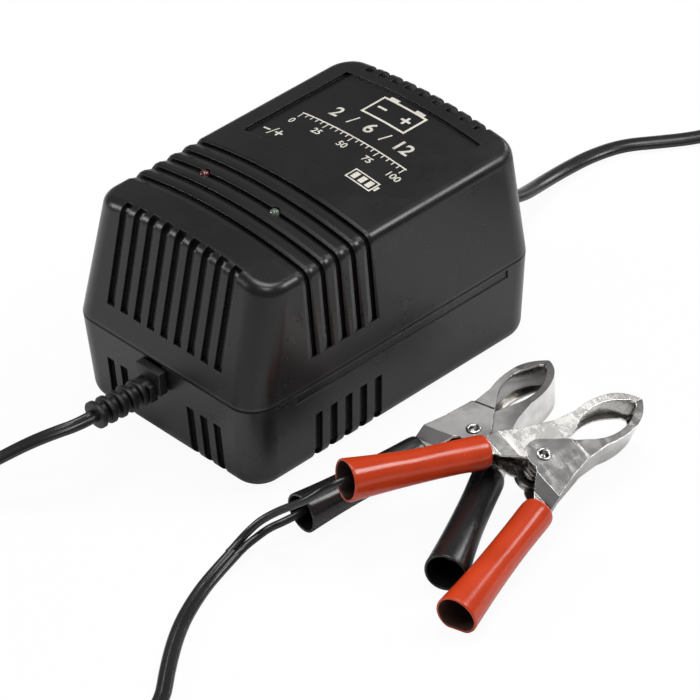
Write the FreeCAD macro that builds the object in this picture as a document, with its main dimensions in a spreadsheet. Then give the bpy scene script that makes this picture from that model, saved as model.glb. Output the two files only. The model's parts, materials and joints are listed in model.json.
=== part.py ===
import FreeCAD, Part
import math
import os
from FreeCAD import Placement, Rotation, Vector

# A small plug-in car battery charger: a two-part moulded case with the transformer and the
# rectifier board inside, a mains lead at the back, and a flat two-core output lead at the front
# that ends in a red and a black spring clip.
# Frame: +Z up, -Y is the end where the output lead leaves, origin under the middle of the case.

doc = FreeCAD.newDocument("battery_charger")
sheet = doc.addObject("Spreadsheet::Sheet", "Sizes")

SIZES = [
    # Case
    ("case_length", 108.0), ("case_width", 73.6), ("case_height", 65.6), ("crown_rise", 3.6),
    ("parting_height", 27.8), ("case_wall", 2.2), ("shell_gap", 0.15),
    ("lower_draft", 3.0), ("side_draft", 3.2), ("back_draft", 4.5), ("front_slope", 15.0),
    ("corner_radius", 8.4), ("bottom_radius", 5.3), ("top_radius", 3.6),
    ("lip_height", 1.6), ("lip_wall", 0.9), ("lip_play", 0.15), ("lip_thick", 0.9),
    ("step_height", 2.8), ("step_depth", 0.5),
    # Grooves across the top, slots at the ends and the lower vents
    ("groove_count", 5), ("groove_pitch", 5.55), ("groove_first", -29.9), ("groove_width", 1.5),
    ("groove_depth", 1.5), ("groove_low", 36.0), ("flank_width", 1.9), ("flank_fall", 0.55),
    ("shoulder_width", 0.9),
    ("shoulder_fall", 0.35),
    ("slot_count", 9), ("slot_pitch", 5.38), ("slot_width", 3.0), ("slot_depth", 1.3),
    ("slot_low", 35.4),
    ("slot_reach", 12.0), ("back_slot_reach", 8.0), ("vent_top", 18.4), ("side_vent_top", 17.2),
    ("vent_width", 2.9),
    # Label recess
    ("label_width", 53.0), ("label_near", 3.2), ("label_far", 42.8), ("label_depth", 0.9),
    # Case fastening
    ("screw_x", 28.0), ("screw_y", 43.0), ("screw_hole", 2.6), ("screw_body", 2.5), ("screw_head", 5.0),
    ("screw_head_height", 2.0), ("screw_length", 16.0), ("boss_radius", 3.6), ("screw_recess", 14.0),
    # Transformer
    ("core_width", 48.0), ("core_height", 40.0), ("core_stack", 20.0), ("core_y", 22.0),
    ("core_seat", 6.0),
    ("core_leg", 16.0), ("core_limb", 8.0), ("core_play", 0.3), ("bobbin_wall", 1.2),
    ("winding_play", 0.3),
    # Board and what it carries
    ("board_length", 30.0), ("board_width", 50.0), ("board_thick", 1.6), ("board_y", -22.0),
    ("board_seat", 9.0),
    ("capacitor_radius", 6.5), ("capacitor_height", 20.0), ("diode_radius", 1.35),
    ("diode_length", 7.5),
    ("diode_lead", 0.4), ("diode_pitch", 5.0), ("diode_x", -3.0), ("sink_width", 20.0),
    ("sink_height", 22.0), ("sink_depth", 9.0),
    ("sink_base", 2.0), ("sink_fin", 1.2), ("sink_fins", 5), ("regulator_width", 10.0),
    ("regulator_height", 9.0),
    ("regulator_thick", 4.4), ("regulator_legs", 5.0),
    # Lamps
    ("lamp_radius", 1.5), ("lamp_proud", 1.0), ("lamp_flange", 1.95), ("lamp_play", 0.1),
    ("lamp_back", 4.0),
    ("red_lamp_x", -17.8), ("green_lamp_x", 10.1),
    # Strain reliefs: flange, neck, block and ribbed boot
    ("relief_width", 9.6), ("relief_height", 7.2), ("relief_flange", 3.0), ("relief_neck", 6.0),
    ("relief_x", -2.1),
    ("relief_z", 23.3), ("boot_length", 18.6), ("boot_start", 6.6), ("boot_end", 5.8), ("boot_fins", 5),
    ("fin_width", 9.0),
    ("fin_tall", 7.4), ("fin_thick", 2.0), ("fin_pitch", 3.35), ("mains_relief_z", 22.3),
    ("relief_play", 0.1),
    ("boot_drop", 2.9), ("output_boot_lean", 4.0), ("mains_boot_lean", 6.0), ("mains_boot_droop", 22.0),
    ("block_width", 6.7), ("block_height", 5.2),
    # Leads
    ("lead_width", 4.4), ("red_entry", 6.0), ("black_entry", 4.5), ("core_width_each", 2.2),
    ("mains_width", 5.2), ("loop_gap", 0.9),
    ("output_coil_radius", 23.0), ("mains_coil_radius", 29.0),
    # Plug
    ("plug_length", 36.0), ("plug_width", 26.0), ("plug_thick", 14.0), ("pin_radius", 2.0),
    ("pin_length", 19.0),
    ("pin_spacing", 19.0), ("pin_tip", 1.2), ("pin_root", 6.0), ("pin_root_radius", 1.5),
    # Clips
    ("metal_thick", 0.7), ("jaw_half_width", 4.8), ("ear_play", 0.1), ("jaw_reach", 38.0),
    ("handle_angle", 17.3),
    ("handle_start_x", 8.0), ("handle_start_y", 10.5), ("sleeve_begin", 1.6), ("sleeve_length", 42.7),
    ("sleeve_radius", 4.7),
    ("sleeve_mouth", 5.7), ("sleeve_wall", 0.8), ("handle_half", 2.7), ("handle_length", 35.0),
    ("rivet_radius", 1.6), ("rivet_head", 2.1), ("rivet_proud", 0.5), ("spring_wire", 1.0),
    ("spring_radius", 3.2),
    ("spring_turns", 3), ("coil_clearance", 0.7),
    # Clip poses on the floor
    ("black_x", 66.4), ("black_y", -1.4), ("black_heading", 101.9),
    ("red_x", 91.3), ("red_y", -2.2), ("red_heading", 89.5), ("red_roll", 23.5), ("red_pitch", 2.3),
]
for row, (alias, value) in enumerate(SIZES, 1):
    sheet.set(f"A{row}", alias)
    sheet.set(f"B{row}", str(value))
    sheet.setAlias(f"B{row}", alias)
doc.recompute()


def size(alias):
    return float(getattr(sheet, alias))


pieces = []


def feature(label, shape, placement=None):
    """A sub-part whose shape is worked out by the functions below."""
    piece = doc.addObject("Part::Feature", label)
    piece.Label = label
    piece.Shape = shape
    if placement is not None:
        piece.Placement = placement.multiply(piece.Placement)
    pieces.append(piece)
    return piece


def face(points, plane):
    """Flat face through a closed list of corners. A pair of points is an arc's middle and its end."""
    edges = []
    first = points[0]
    last = first
    for item in points[1:] + [first]:
        if isinstance(item[0], tuple):
            middle, item = item
            edges.append(Part.Arc(plane(*last), plane(*middle), plane(*item)).toShape())
        else:
            edges.append(Part.LineSegment(plane(*last), plane(*item)).toShape())
        last = item
    return Part.Face(Part.Wire(edges))


def front_view(x, z):
    return Vector(x, 0, z)


def side_view(y, z):
    return Vector(0, y, z)


def top_view(x, y):
    return Vector(x, y, 0)


def tangent(angle):
    return math.tan(math.radians(angle))


# Case outline. Both halves are the overlap of a front view and a side view; the same function
# with a shrink gives the cavity, the floors of the grooves and the floor of the label recess.
half_length = size("case_length") / 2
half_width = size("case_width") / 2
parting = size("parting_height")
top = size("case_height")
edge_height = top - size("crown_rise")
FAR = 200.0


def rounded(solid, edges, radius):
    return solid.makeFillet(radius, edges)


def upright_edges(solid, low, high):
    found = []
    for edge in solid.Edges:
        ends = [v.Point for v in edge.Vertexes]
        if len(ends) == 2 and abs(ends[0].z - ends[1].z) > 0.8 * (high - low):
            if abs(ends[0].x) > half_width / 2 and abs(ends[0].y) > half_length / 2:
                found.append(edge)
    return found


def upper_plan(shrink, rise):
    """Solid over the parting plane whose rounded plan narrows upwards."""
    wires = []
    for height in (0.0, rise):
        x = half_width - shrink - height * tangent(size("side_draft"))
        near = -half_length + shrink + height * tangent(size("front_slope"))
        far = half_length - shrink - height * tangent(size("back_draft"))
        radius = max(size("corner_radius") - shrink, 1.5)
        middle = radius * (1 - math.sqrt(0.5))
        edges = []
        spots = [(x, near, -1, 1), (x, far, -1, -1), (-x, far, 1, -1), (-x, near, 1, 1)]
        arcs = []
        for corner_x, corner_y, in_x, in_y in spots:
            on_end = Vector(corner_x + in_x * radius, corner_y, parting + height)
            on_side = Vector(corner_x, corner_y + in_y * radius, parting + height)
            mid = Vector(corner_x + in_x * middle, corner_y + in_y * middle, parting + height)
            arcs.append((on_end, mid, on_side) if in_x * in_y < 0 else (on_side, mid, on_end))
        for k, (begin, mid, end) in enumerate(arcs):
            edges.append(Part.Arc(begin, mid, end).toShape())
            edges.append(Part.LineSegment(end, arcs[(k + 1) % 4][0]).toShape())
        wires.append(Part.Wire(edges))
    return Part.makeLoft(wires, True, True)


def upper_form(shrink):
    """Inner form of the upper shell: the plan's solid cut by the crown and by two bevels."""
    solid = upper_plan(shrink, top - parting)
    roof = top - shrink
    side_top = half_width - shrink - (top - parting) * tangent(size("side_draft"))
    drop = size("crown_rise") * (FAR / 4 / side_top) ** 2
    crown = face([(-FAR / 4, 0.0), (FAR / 4, 0.0), (FAR / 4, roof - drop),
                  ((0, roof), (-FAR / 4, roof - drop))], front_view)
    crown = crown.extrude(Vector(0, FAR, 0))
    crown.translate(Vector(0, -FAR / 2, 0))
    bevel = size("top_radius") * 0.6
    knee = roof - parting - bevel
    near = -half_length + shrink + knee * tangent(size("front_slope")) + bevel
    far = half_length - shrink - knee * tangent(size("back_draft")) - bevel
    ends = face([(near - roof, 0.0), (far + roof, 0.0), (far, roof), (near, roof)], side_view)
    ends = ends.extrude(Vector(FAR, 0, 0))
    ends.translate(Vector(-FAR / 2, 0, 0))
    return solid.common(crown).common(ends).Solids[0]


def upper_body():
    """Outer form of the upper shell, with every edge above the parting plane rounded."""
    rise = top - parting
    side_top = half_width - rise * tangent(size("side_draft"))
    front = [(-half_width, parting), (half_width, parting), (side_top, edge_height),
             ((0, top), (-side_top, edge_height))]
    lean_front = tangent(size("front_slope"))
    lean_back = tangent(size("back_draft"))
    side_face = [(-half_length, parting), (half_length, parting),
                 (half_length - (rise + 2) * lean_back, top + 2),
                 (-half_length + (rise + 2) * lean_front, top + 2)]
    across = face(front, front_view).extrude(Vector(0, FAR, 0))
    across.translate(Vector(0, -FAR / 2, 0))
    along = face(side_face, side_view).extrude(Vector(FAR, 0, 0))
    along.translate(Vector(-FAR / 2, 0, 0))
    solid = across.common(along).Solids[0]
    solid = rounded(solid, upright_edges(solid, parting, edge_height), size("corner_radius"))
    roof = max(solid.Faces, key=lambda f: f.CenterOfMass.z)
    return rounded(solid, roof.Edges, size("top_radius"))


def lower_form(shrink):
    lean = (parting - shrink) * tangent(size("lower_draft"))
    side = half_width - shrink
    end = half_length - shrink
    corners = [(-side, -end), (side, -end), (side, end), (-side, end)]
    wires = []
    for inset, height in ((lean, shrink), (0.0, parting)):
        wires.append(Part.makePolygon([Vector(x - math.copysign(inset, x), y - math.copysign(inset, y), height)
                                       for x, y in corners + corners[:1]]))
    solid = Part.makeLoft(wires, True, True)
    solid = rounded(solid, upright_edges(solid, shrink, parting), max(size("corner_radius") - shrink, 1.5))
    base = min(solid.Faces, key=lambda f: f.CenterOfMass.z)
    return rounded(solid, base.Edges, max(size("bottom_radius") - shrink, 1.0))


def box(x0, x1, y0, y1, z0, z1):
    return Part.makeBox(x1 - x0, y1 - y0, z1 - z0, Vector(x0, y0, z0))


def cylinder(radius, height, base, axis=Vector(0, 0, 1)):
    return Part.makeCylinder(radius, height, base, axis)


def plate(points, low, high):
    solid = face(points, top_view).extrude(Vector(0, 0, high - low))
    solid.translate(Vector(0, 0, low))
    return solid


def mirrored_y(solid):
    return solid.mirror(Vector(0, 0, 0), Vector(0, 1, 0))


# Grooves: a narrow slot with a sloping flank on the output side and a small shoulder on the
# other, swept up one side of the case, over the crown and down the other side.
def groove_path(middle_y):
    lean = tangent(size("side_draft"))
    low = size("groove_low")
    radius = size("top_radius")
    side_low = half_width - (low - parting) * lean
    knee = edge_height - radius
    side_knee = half_width - (knee - parting) * lean
    side_top = half_width - (edge_height - parting) * lean
    shoulder_x = side_top - radius
    shoulder_z = edge_height + size("crown_rise") * (1 - (shoulder_x / side_top) ** 2)
    crown = Part.Arc(Vector(shoulder_x, middle_y, shoulder_z), Vector(0, middle_y, top),
                     Vector(-shoulder_x, middle_y, shoulder_z)).toShape()
    bend = Vector(side_top - 0.28 * radius, middle_y, edge_height - 0.16 * radius)
    shoulder = Vector(shoulder_x, middle_y, shoulder_z)
    far_shoulder = Vector(-shoulder_x, middle_y, shoulder_z)
    side = Vector(side_knee, middle_y, knee)
    far_side = Vector(-side_knee, middle_y, knee)
    edges = [Part.LineSegment(Vector(side_low, middle_y, low), side).toShape(),
             Part.Arc(side, bend, shoulder).toShape(),
             crown,
             Part.Arc(far_shoulder, Vector(-bend.x, middle_y, bend.z), far_side).toShape(),
             Part.LineSegment(far_side, Vector(-side_low, middle_y, low)).toShape()]
    return Part.Wire(edges)


def groove_cutter(middle_y):
    path = groove_path(middle_y)
    half = size("groove_width") / 2
    deep = size("groove_depth")
    above = 1.0
    section = [(-half - size("flank_width"), 0.0), (-half, size("flank_fall")), (-half, deep), (half, deep),
               (half, size("shoulder_fall")), (half + size("shoulder_width"), 0.0),
               (half + size("shoulder_width"), -above), (-half - size("flank_width"), -above)]
    start = path.Edges[0].Vertexes[0].Point
    corners = [Vector(start.x - depth, middle_y + y, start.z) for y, depth in section]
    return path.makePipeShell([Part.makePolygon(corners + corners[:1])], True, False)


groove_places = [size("groove_first") + k * size("groove_pitch") for k in range(int(size("groove_count")))]
grooves = [groove_cutter(y) for y in groove_places]

# End slots: upright slots that wrap over the upper edge, as deep as the difference of two forms.
slot_floor = upper_form(size("slot_depth"))
slot_half = size("slot_width") / 2
slots = []
for k in range(int(size("slot_count"))):
    x = (k - (size("slot_count") - 1) / 2) * size("slot_pitch")
    slots.append(box(x - slot_half, x + slot_half, -FAR / 2, -half_length + size("slot_reach"),
                     size("slot_low"), FAR / 2).cut(slot_floor))
    slots.append(box(x - slot_half, x + slot_half, half_length - size("back_slot_reach"), FAR / 2,
                     size("slot_low"), FAR / 2).cut(slot_floor))

recess = box(-size("label_width") / 2, size("label_width") / 2, size("label_near"), size("label_far"),
             edge_height - 4.0, FAR / 2).cut(upper_form(size("label_depth")))

lamp_places = [(size("red_lamp_x"), "led_polarity"), (size("green_lamp_x"), "led_charge")]
lamp_y = size("groove_first") + 2 * size("groove_pitch")


def crown_height(x):
    side_top = half_width - (top - parting) * tangent(size("side_draft"))
    return top - size("crown_rise") * (x / side_top) ** 2


lamp_holes = [cylinder(size("lamp_radius") + size("lamp_play"), 20.0,
                       Vector(x, lamp_y, crown_height(x) - 10.0)) for x, label in lamp_places]

# Screw posts of the two halves meet at the parting plane.
corners = [(sx * size("screw_x"), sy * size("screw_y")) for sx in (-1, 1) for sy in (-1, 1)]
cavity_top = upper_form(size("case_wall"))
cavity_low = lower_form(size("case_wall"))
tongue = size("lip_height")


def posts(low, high, limit):
    return [cylinder(size("boss_radius"), high - low, Vector(x, y, low)).common(limit) for x, y in corners]


shell = upper_body().cut(cavity_top)
shell = shell.fuse(posts(parting, top, upper_form(size("case_wall") / 2)))
pilot = [cylinder(size("screw_body") / 2, size("screw_length"), Vector(x, y, parting)) for x, y in corners]
lip_cut = upper_plan(size("lip_wall") - size("lip_play"), tongue + size("lip_play"))
for x, y in corners:
    lip_cut = lip_cut.cut(cylinder(size("boss_radius") + size("lip_play"), FAR, Vector(x, y, 0)))
whole = shell.Volume
shell = shell.cut(lip_cut)
print("lip cut takes", round(whole - shell.Volume), "mm3")
upper_shell = shell.cut(grooves + slots + [recess] + lamp_holes + pilot)
upper_shell.translate(Vector(0, 0, size("shell_gap")))
feature("upper_shell", upper_shell.Solids[0] if len(upper_shell.Solids) == 1 else upper_shell)
print("upper shell solids", len(upper_shell.Solids))

# Lower shell: a tub with a tongue that stands inside the upper shell, vents at the foot of the
# front and the sides, a shallow step under the joint line, and posts and ledges inside.
mouth_x = half_width - 2 * size("case_wall")
mouth_y = half_length - 2 * size("case_wall")
tub_mouth = box(-mouth_x, mouth_x, -mouth_y, mouth_y, parting - 3.0, parting + 1.0)
tub = lower_form(0.0).cut(cavity_low.fuse(tub_mouth))
tongue_inset = size("lip_wall") + size("lip_play")
tongue_ring = upper_plan(tongue_inset, tongue).cut(upper_plan(tongue_inset + size("lip_thick"), 2 * tongue))
low_posts = [cylinder(size("boss_radius"), parting - 0.5, Vector(x, y, 0.5)) for x, y in corners]
tub = tub.fuse([tongue_ring] + low_posts)

vent_floor = lower_form(size("slot_depth"))
vent_half = size("vent_width") / 2
vents = []
for k in (0, 1, 6, 7, 8):
    x = (k - (size("slot_count") - 1) / 2) * size("slot_pitch")
    vents.append(box(x - vent_half, x + vent_half, -FAR / 2, -half_length + 9.0, -1.0, size("vent_top")))
for y in groove_places:
    low = y - vent_half
    high = y + vent_half
    vents.append(box(half_width - 9.0, FAR / 2, low, high, -1.0, size("side_vent_top")))
    vents.append(box(-FAR / 2, 9.0 - half_width, low, high, -1.0, size("side_vent_top")))
vents = [vent.cut(vent_floor) for vent in vents]
step_side = half_width - size("step_depth")
step_top = parting - 0.6
step_band = box(-FAR / 2, FAR / 2, -half_length + 16.0, half_length - 12.0, step_top - size("step_height"),
                step_top).cut(box(-step_side, step_side, -FAR / 2, FAR / 2, 0.0, FAR))
bores = []
for x, y in corners:
    bores.append(cylinder(size("screw_hole") / 2, FAR / 2, Vector(x, y, 0)))
    bores.append(cylinder(size("screw_head") / 2 + 0.3, size("screw_recess"), Vector(x, y, -0.5)))


def relief_room(y_sign, z):
    """Notch from the joint line down, as wide as the relief's neck, through one end wall."""
    half = size("relief_neck") / 2 + size("relief_play")
    x = size("relief_x") if y_sign < 0 else 0.0
    wall = sorted((y_sign * (half_length - 9.0), y_sign * (half_length + 1.0)))
    return box(x - half, x + half, wall[0], wall[1], z - half, parting + tongue + 1.0)


notches = [relief_room(-1, size("relief_z")), relief_room(1, size("mains_relief_z"))]
floor_z = size("case_wall")
core_half = size("core_width") / 2
core_y = size("core_y")
ledge_half = size("core_stack") / 2 + 2.0
ledges = [box(x - 3.0, x + 3.0, core_y - ledge_half, core_y + ledge_half, floor_z - 0.5, size("core_seat"))
          for x in (-core_half + 4.0, core_half - 4.0)]
board_y = size("board_y")
board_half_x = size("board_width") / 2
board_half_y = size("board_length") / 2
peg_x = board_half_x - 4.0
peg_y = board_half_y - 4.0
pegs = [cylinder(2.5, size("board_seat") - floor_z + 0.5, Vector(sx * peg_x, board_y + sy * peg_y, floor_z - 0.5))
        for sx in (-1, 1) for sy in (-1, 1)]
lower_shell = tub.fuse(ledges + pegs).cut(vents + [step_band] + bores + notches)
feature("lower_shell", lower_shell.Solids[0] if len(lower_shell.Solids) == 1 else lower_shell)
print("lower shell solids", len(lower_shell.Solids))


# Screws: pan heads up inside the recesses of the lower posts, shanks into the upper posts.
screws = []
for x, y in corners:
    seat = size("screw_recess") - 0.5
    head_height = size("screw_head_height")
    head = cylinder(size("screw_head") / 2, head_height, Vector(x, y, seat - head_height))
    shank = cylinder(size("screw_body") / 2, size("screw_length") + 2.0, Vector(x, y, seat))
    screws.append(head.fuse(shank).removeSplitter().Solids[0])
feature("housing_screws", Part.makeCompound(screws))


# Transformer: a laminated core with two windows, a bobbin on its middle leg and the winding.
core = doc.addObject("Part::Box", "core_block")
core.setExpression("Length", "Sizes.core_width")
core.setExpression("Width", "Sizes.core_stack")
core.setExpression("Height", "Sizes.core_height")
core.setExpression("Placement.Base.x", "-Sizes.core_width / 2")
core.setExpression("Placement.Base.y", "Sizes.core_y - Sizes.core_stack / 2")
core.setExpression("Placement.Base.z", "Sizes.core_seat")
windows = []
for side, place in (("left", "-Sizes.core_width / 2 + Sizes.core_limb"), ("right", "Sizes.core_leg / 2")):
    window = doc.addObject("Part::Box", "window_" + side)
    window.setExpression("Length", "Sizes.core_width / 2 - Sizes.core_limb - Sizes.core_leg / 2")
    window.setExpression("Width", "Sizes.core_stack + 2")
    window.setExpression("Height", "Sizes.core_height - 2 * Sizes.core_limb")
    window.setExpression("Placement.Base.x", place)
    window.setExpression("Placement.Base.y", "Sizes.core_y - Sizes.core_stack / 2 - 1")
    window.setExpression("Placement.Base.z", "Sizes.core_seat + Sizes.core_limb")
    windows.append(window)
window_pair = doc.addObject("Part::MultiFuse", "window_pair")
window_pair.Shapes = windows
laminations = doc.addObject("Part::Cut", "transformer_core")
laminations.Base = core
laminations.Tool = window_pair
laminations.Label = "transformer_core"
pieces.append(laminations)

leg_half = size("core_leg") / 2
stack_half = size("core_stack") / 2
window_low = size("core_seat") + size("core_limb")
window_high = size("core_seat") + size("core_height") - size("core_limb")
play = size("core_play")
wall = size("bobbin_wall")
window_wide = core_half - size("core_limb") - leg_half


def ring(inner_x, inner_y, thick, low, high):
    out_x = inner_x + thick
    out_y = inner_y + thick
    outer = box(-out_x, out_x, core_y - out_y, core_y + out_y, low, high)
    return outer.cut(box(-inner_x, inner_x, core_y - inner_y, core_y + inner_y, low - 1, high + 1))


bobbin_x = leg_half + play
bobbin_y = stack_half + play
bobbin_low = window_low + play
bobbin_high = window_high - play
flange = window_wide - 2 * play
bobbin = ring(bobbin_x, bobbin_y, wall, bobbin_low, bobbin_high)
bobbin = bobbin.fuse([ring(bobbin_x, bobbin_y, flange, bobbin_low, bobbin_low + wall),
                      ring(bobbin_x, bobbin_y, flange, bobbin_high - wall, bobbin_high)]).removeSplitter()
feature("transformer_bobbin", bobbin.Solids[0])
gap = size("winding_play")
winding = ring(bobbin_x + wall + gap, bobbin_y + wall + gap, flange - wall - 2 * gap, bobbin_low + wall + gap,
               bobbin_high - wall - gap)
upright = [e for e in winding.Edges if abs(e.Vertexes[0].Z - e.Vertexes[1].Z) > 5.0 and
           abs(abs(e.Vertexes[0].X) - (bobbin_x + flange - gap)) < 0.1]
feature("transformer_winding", winding.makeFillet(3.0, upright))


# Rectifier board on its pegs, with the parts soldered to it.
board = doc.addObject("Part::Box", "circuit_board")
board.Label = "circuit_board"
board.setExpression("Length", "Sizes.board_width")
board.setExpression("Width", "Sizes.board_length")
board.setExpression("Height", "Sizes.board_thick")
board.setExpression("Placement.Base.x", "-Sizes.board_width / 2")
board.setExpression("Placement.Base.y", "Sizes.board_y - Sizes.board_length / 2")
board.setExpression("Placement.Base.z", "Sizes.board_seat")
pieces.append(board)
board_top = size("board_seat") + size("board_thick")

can = doc.addObject("Part::Cylinder", "capacitor_can")
can.setExpression("Radius", "Sizes.capacitor_radius")
can.setExpression("Height", "Sizes.capacitor_height")
can.setExpression("Placement.Base.x", "-Sizes.board_width / 2 + Sizes.capacitor_radius + 1")
can.setExpression("Placement.Base.y", "Sizes.board_y - 5")
can.setExpression("Placement.Base.z", "Sizes.board_seat + Sizes.board_thick")
doc.recompute()
capacitor = can.Shape.makeFillet(1.0, [e for e in can.Shape.Edges if e.Length > 10 and len(e.Vertexes) == 1])
feature("smoothing_capacitor", capacitor)

diodes = []
for k in range(4):
    y = board_y - 1.5 * size("diode_pitch") + k * size("diode_pitch")
    middle_z = board_top + size("diode_radius")
    half = size("diode_length") / 2
    x = size("diode_x")
    body = cylinder(size("diode_radius"), 2 * half, Vector(x - half, y, middle_z), Vector(1, 0, 0))
    wire = cylinder(size("diode_lead"), 2 * half + 4.0, Vector(x - half - 2.0, y, middle_z), Vector(1, 0, 0))
    legs = [cylinder(size("diode_lead"), middle_z - board_top, Vector(x + dx, y, board_top))
            for dx in (-half - 1.6, half + 1.6)]
    diodes.append(body.fuse([wire] + legs).removeSplitter().Solids[0])
feature("rectifier_diodes", Part.makeCompound(diodes))

sink_x = board_half_x - size("sink_width") - 1.0
sink_y = board_y + board_half_y - size("sink_depth") - 1.5
sink_top = board_top + size("sink_height")
sink = box(sink_x, sink_x + size("sink_width"), sink_y, sink_y + size("sink_base"), board_top, sink_top)
fin_step = (size("sink_width") - size("sink_fin")) / (size("sink_fins") - 1)
fins = []
for k in range(int(size("sink_fins"))):
    x = sink_x + k * fin_step
    fins.append(box(x, x + size("sink_fin"), sink_y, sink_y + size("sink_depth"), board_top, sink_top))
feature("heat_sink", sink.fuse(fins).removeSplitter().Solids[0])
regulator_x = sink_x + size("sink_width") / 2
regulator = box(regulator_x - size("regulator_width") / 2, regulator_x + size("regulator_width") / 2,
                sink_y - size("regulator_thick"), sink_y, board_top + size("regulator_legs"),
                board_top + size("regulator_legs") + size("regulator_height"))
legs = [box(regulator_x + dx - 0.4, regulator_x + dx + 0.4, sink_y - 2.4, sink_y - 1.9, board_top,
            board_top + size("regulator_legs") + 0.5) for dx in (-2.5, 0.0, 2.5)]
feature("regulator", regulator.fuse(legs).removeSplitter().Solids[0])


# Lamps: a domed lens through the roof, with a rim that bears on the roof's inner side.
for x, label in lamp_places:
    surface = crown_height(x) + size("shell_gap")
    tip = surface + size("lamp_proud") - size("groove_depth") * 0.5
    inner = crown_height(x) - size("case_wall") - size("shell_gap")
    radius = size("lamp_radius")
    foot = inner - size("lamp_back")
    lens = cylinder(radius, tip - radius - foot, Vector(x, lamp_y, foot))
    lens = lens.fuse([Part.makeSphere(radius, Vector(x, lamp_y, tip - radius)),
                      cylinder(size("lamp_flange"), 1.0, Vector(x, lamp_y, inner - 1.0 - size("lamp_play")))])
    feature(label, lens.removeSplitter().Solids[0])


# Strain reliefs: an inner and an outer flange with a neck between them in the notch of the lower
# shell, then a tapered boot with oval ribs that leans to the left and may droop.
def relief(label, y_sign, x, z, drop, lean_left, droop):
    wide = size("relief_width") / 2
    tall = size("relief_height") / 2
    neck = size("relief_neck") / 2
    lean = (parting - z) * tangent(size("lower_draft"))
    outside = half_length - lean + size("relief_play")
    inside = half_length - lean - size("case_wall") - size("relief_play") - 0.25
    skin = size("relief_flange")

    def slab(x_half, z_low, z_high, start, end):
        solid = box(x - x_half, x + x_half, start, end, z + z_low, z + z_high)
        return solid if y_sign > 0 else mirrored_y(solid)

    flange_out = slab(wide, -tall, min(tall, parting - z - 0.3), outside + 0.15, outside + skin)
    lengthwise = [e for e in flange_out.Edges if abs(e.Vertexes[0].Y - e.Vertexes[1].Y) > 1.0]
    flange_out = flange_out.makeFillet(1.2, lengthwise)
    body = slab(neck, -neck, neck, inside - 1.5, outside + skin)
    flange_in = slab(wide - 1.0, -tall + 1.0, neck + 0.5, inside - 1.5, inside)
    base = Vector(x, y_sign * (outside + skin - 0.3), z - drop)
    tilt = math.radians(droop)
    turn = math.radians(lean_left)
    level = math.cos(tilt)
    along = Vector(-math.sin(turn) * level, y_sign * math.cos(turn) * level, -math.sin(tilt))
    across = along.cross(Vector(0, 0, 1)).normalize()
    upward = across.cross(along).normalize()
    cone = Part.makeCone(size("boot_start") / 2, size("boot_end") / 2, size("boot_length"), base, along)
    block = slab(size("block_width") / 2, -drop - size("block_height") / 2, -drop + size("block_height") / 2,
                    outside + skin - 0.5, outside + skin + 2.2)
    ribs = []
    fins = int(size("boot_fins"))
    for k in range(fins):
        start = base + along * (size("boot_length") - size("fin_thick") - (fins - 1 - k) * size("fin_pitch"))
        side_point = start + across * (size("fin_width") / 2)
        rim = Part.Ellipse(side_point, start + upward * (size("fin_tall") / 2), start)
        ribs.append(Part.Face(Part.Wire([rim.toShape()])).extrude(along * size("fin_thick")))
    boot = flange_out.fuse([body, flange_in, block, cone] + ribs).removeSplitter()
    feature(label, boot.Solids[0])
    return base + along * size("boot_length"), along


output_exit, output_way = relief("output_strain_relief", -1, size("relief_x"), size("relief_z"),
                                 size("boot_drop"), size("output_boot_lean"), 0.0)
mains_exit, mains_way = relief("mains_strain_relief", 1, 0.0, size("mains_relief_z"), 0.0,
                               size("mains_boot_lean"), size("mains_boot_droop"))
print("exits", output_exit, output_way, mains_exit, mains_way)


# Leads. A free stretch is a round tube along straight runs with tangent arcs as large as the
# runs allow; a coil is one tube that spirals in on the floor and out again on top.
def tube(points, diameter, label):
    vectors = [Vector(*p) for p in points]
    edges = []
    last = vectors[0]
    radii = []
    for before, corner, after in zip(vectors, vectors[1:], vectors[2:]):
        back = (before - corner).normalize()
        ahead = (after - corner).normalize()
        half_turn = (math.pi - back.getAngle(ahead)) / 2
        shorter = min(corner.distanceToPoint(before), corner.distanceToPoint(after))
        radius = 0.45 * shorter / math.tan(half_turn)
        radii.append(radius)
        start = corner + back * (0.45 * shorter)
        end = corner + ahead * (0.45 * shorter)
        bisector = (back + ahead).normalize()
        middle = corner + bisector * (radius / math.cos(half_turn) - radius)
        edges.append(Part.LineSegment(last, start).toShape())
        edges.append(Part.Arc(start, middle, end).toShape())
        last = end
    edges.append(Part.LineSegment(last, vectors[-1]).toShape())
    path = Part.Wire(edges)
    way = (vectors[1] - vectors[0]).normalize()
    ring_wire = Part.Wire([Part.Circle(vectors[0], way, diameter / 2).toShape()])
    solid = path.makePipeShell([ring_wire], True, False)
    expected = math.pi * diameter ** 2 / 4 * path.Length
    print(label, "length", round(path.Length, 1), "volume ratio", round(solid.Volume / expected, 4),
          "radii", [round(r, 1) for r in radii], "runs",
          [round(a.distanceToPoint(b), 1) for a, b in zip(vectors, vectors[1:])])
    return solid, path.Length


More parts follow.
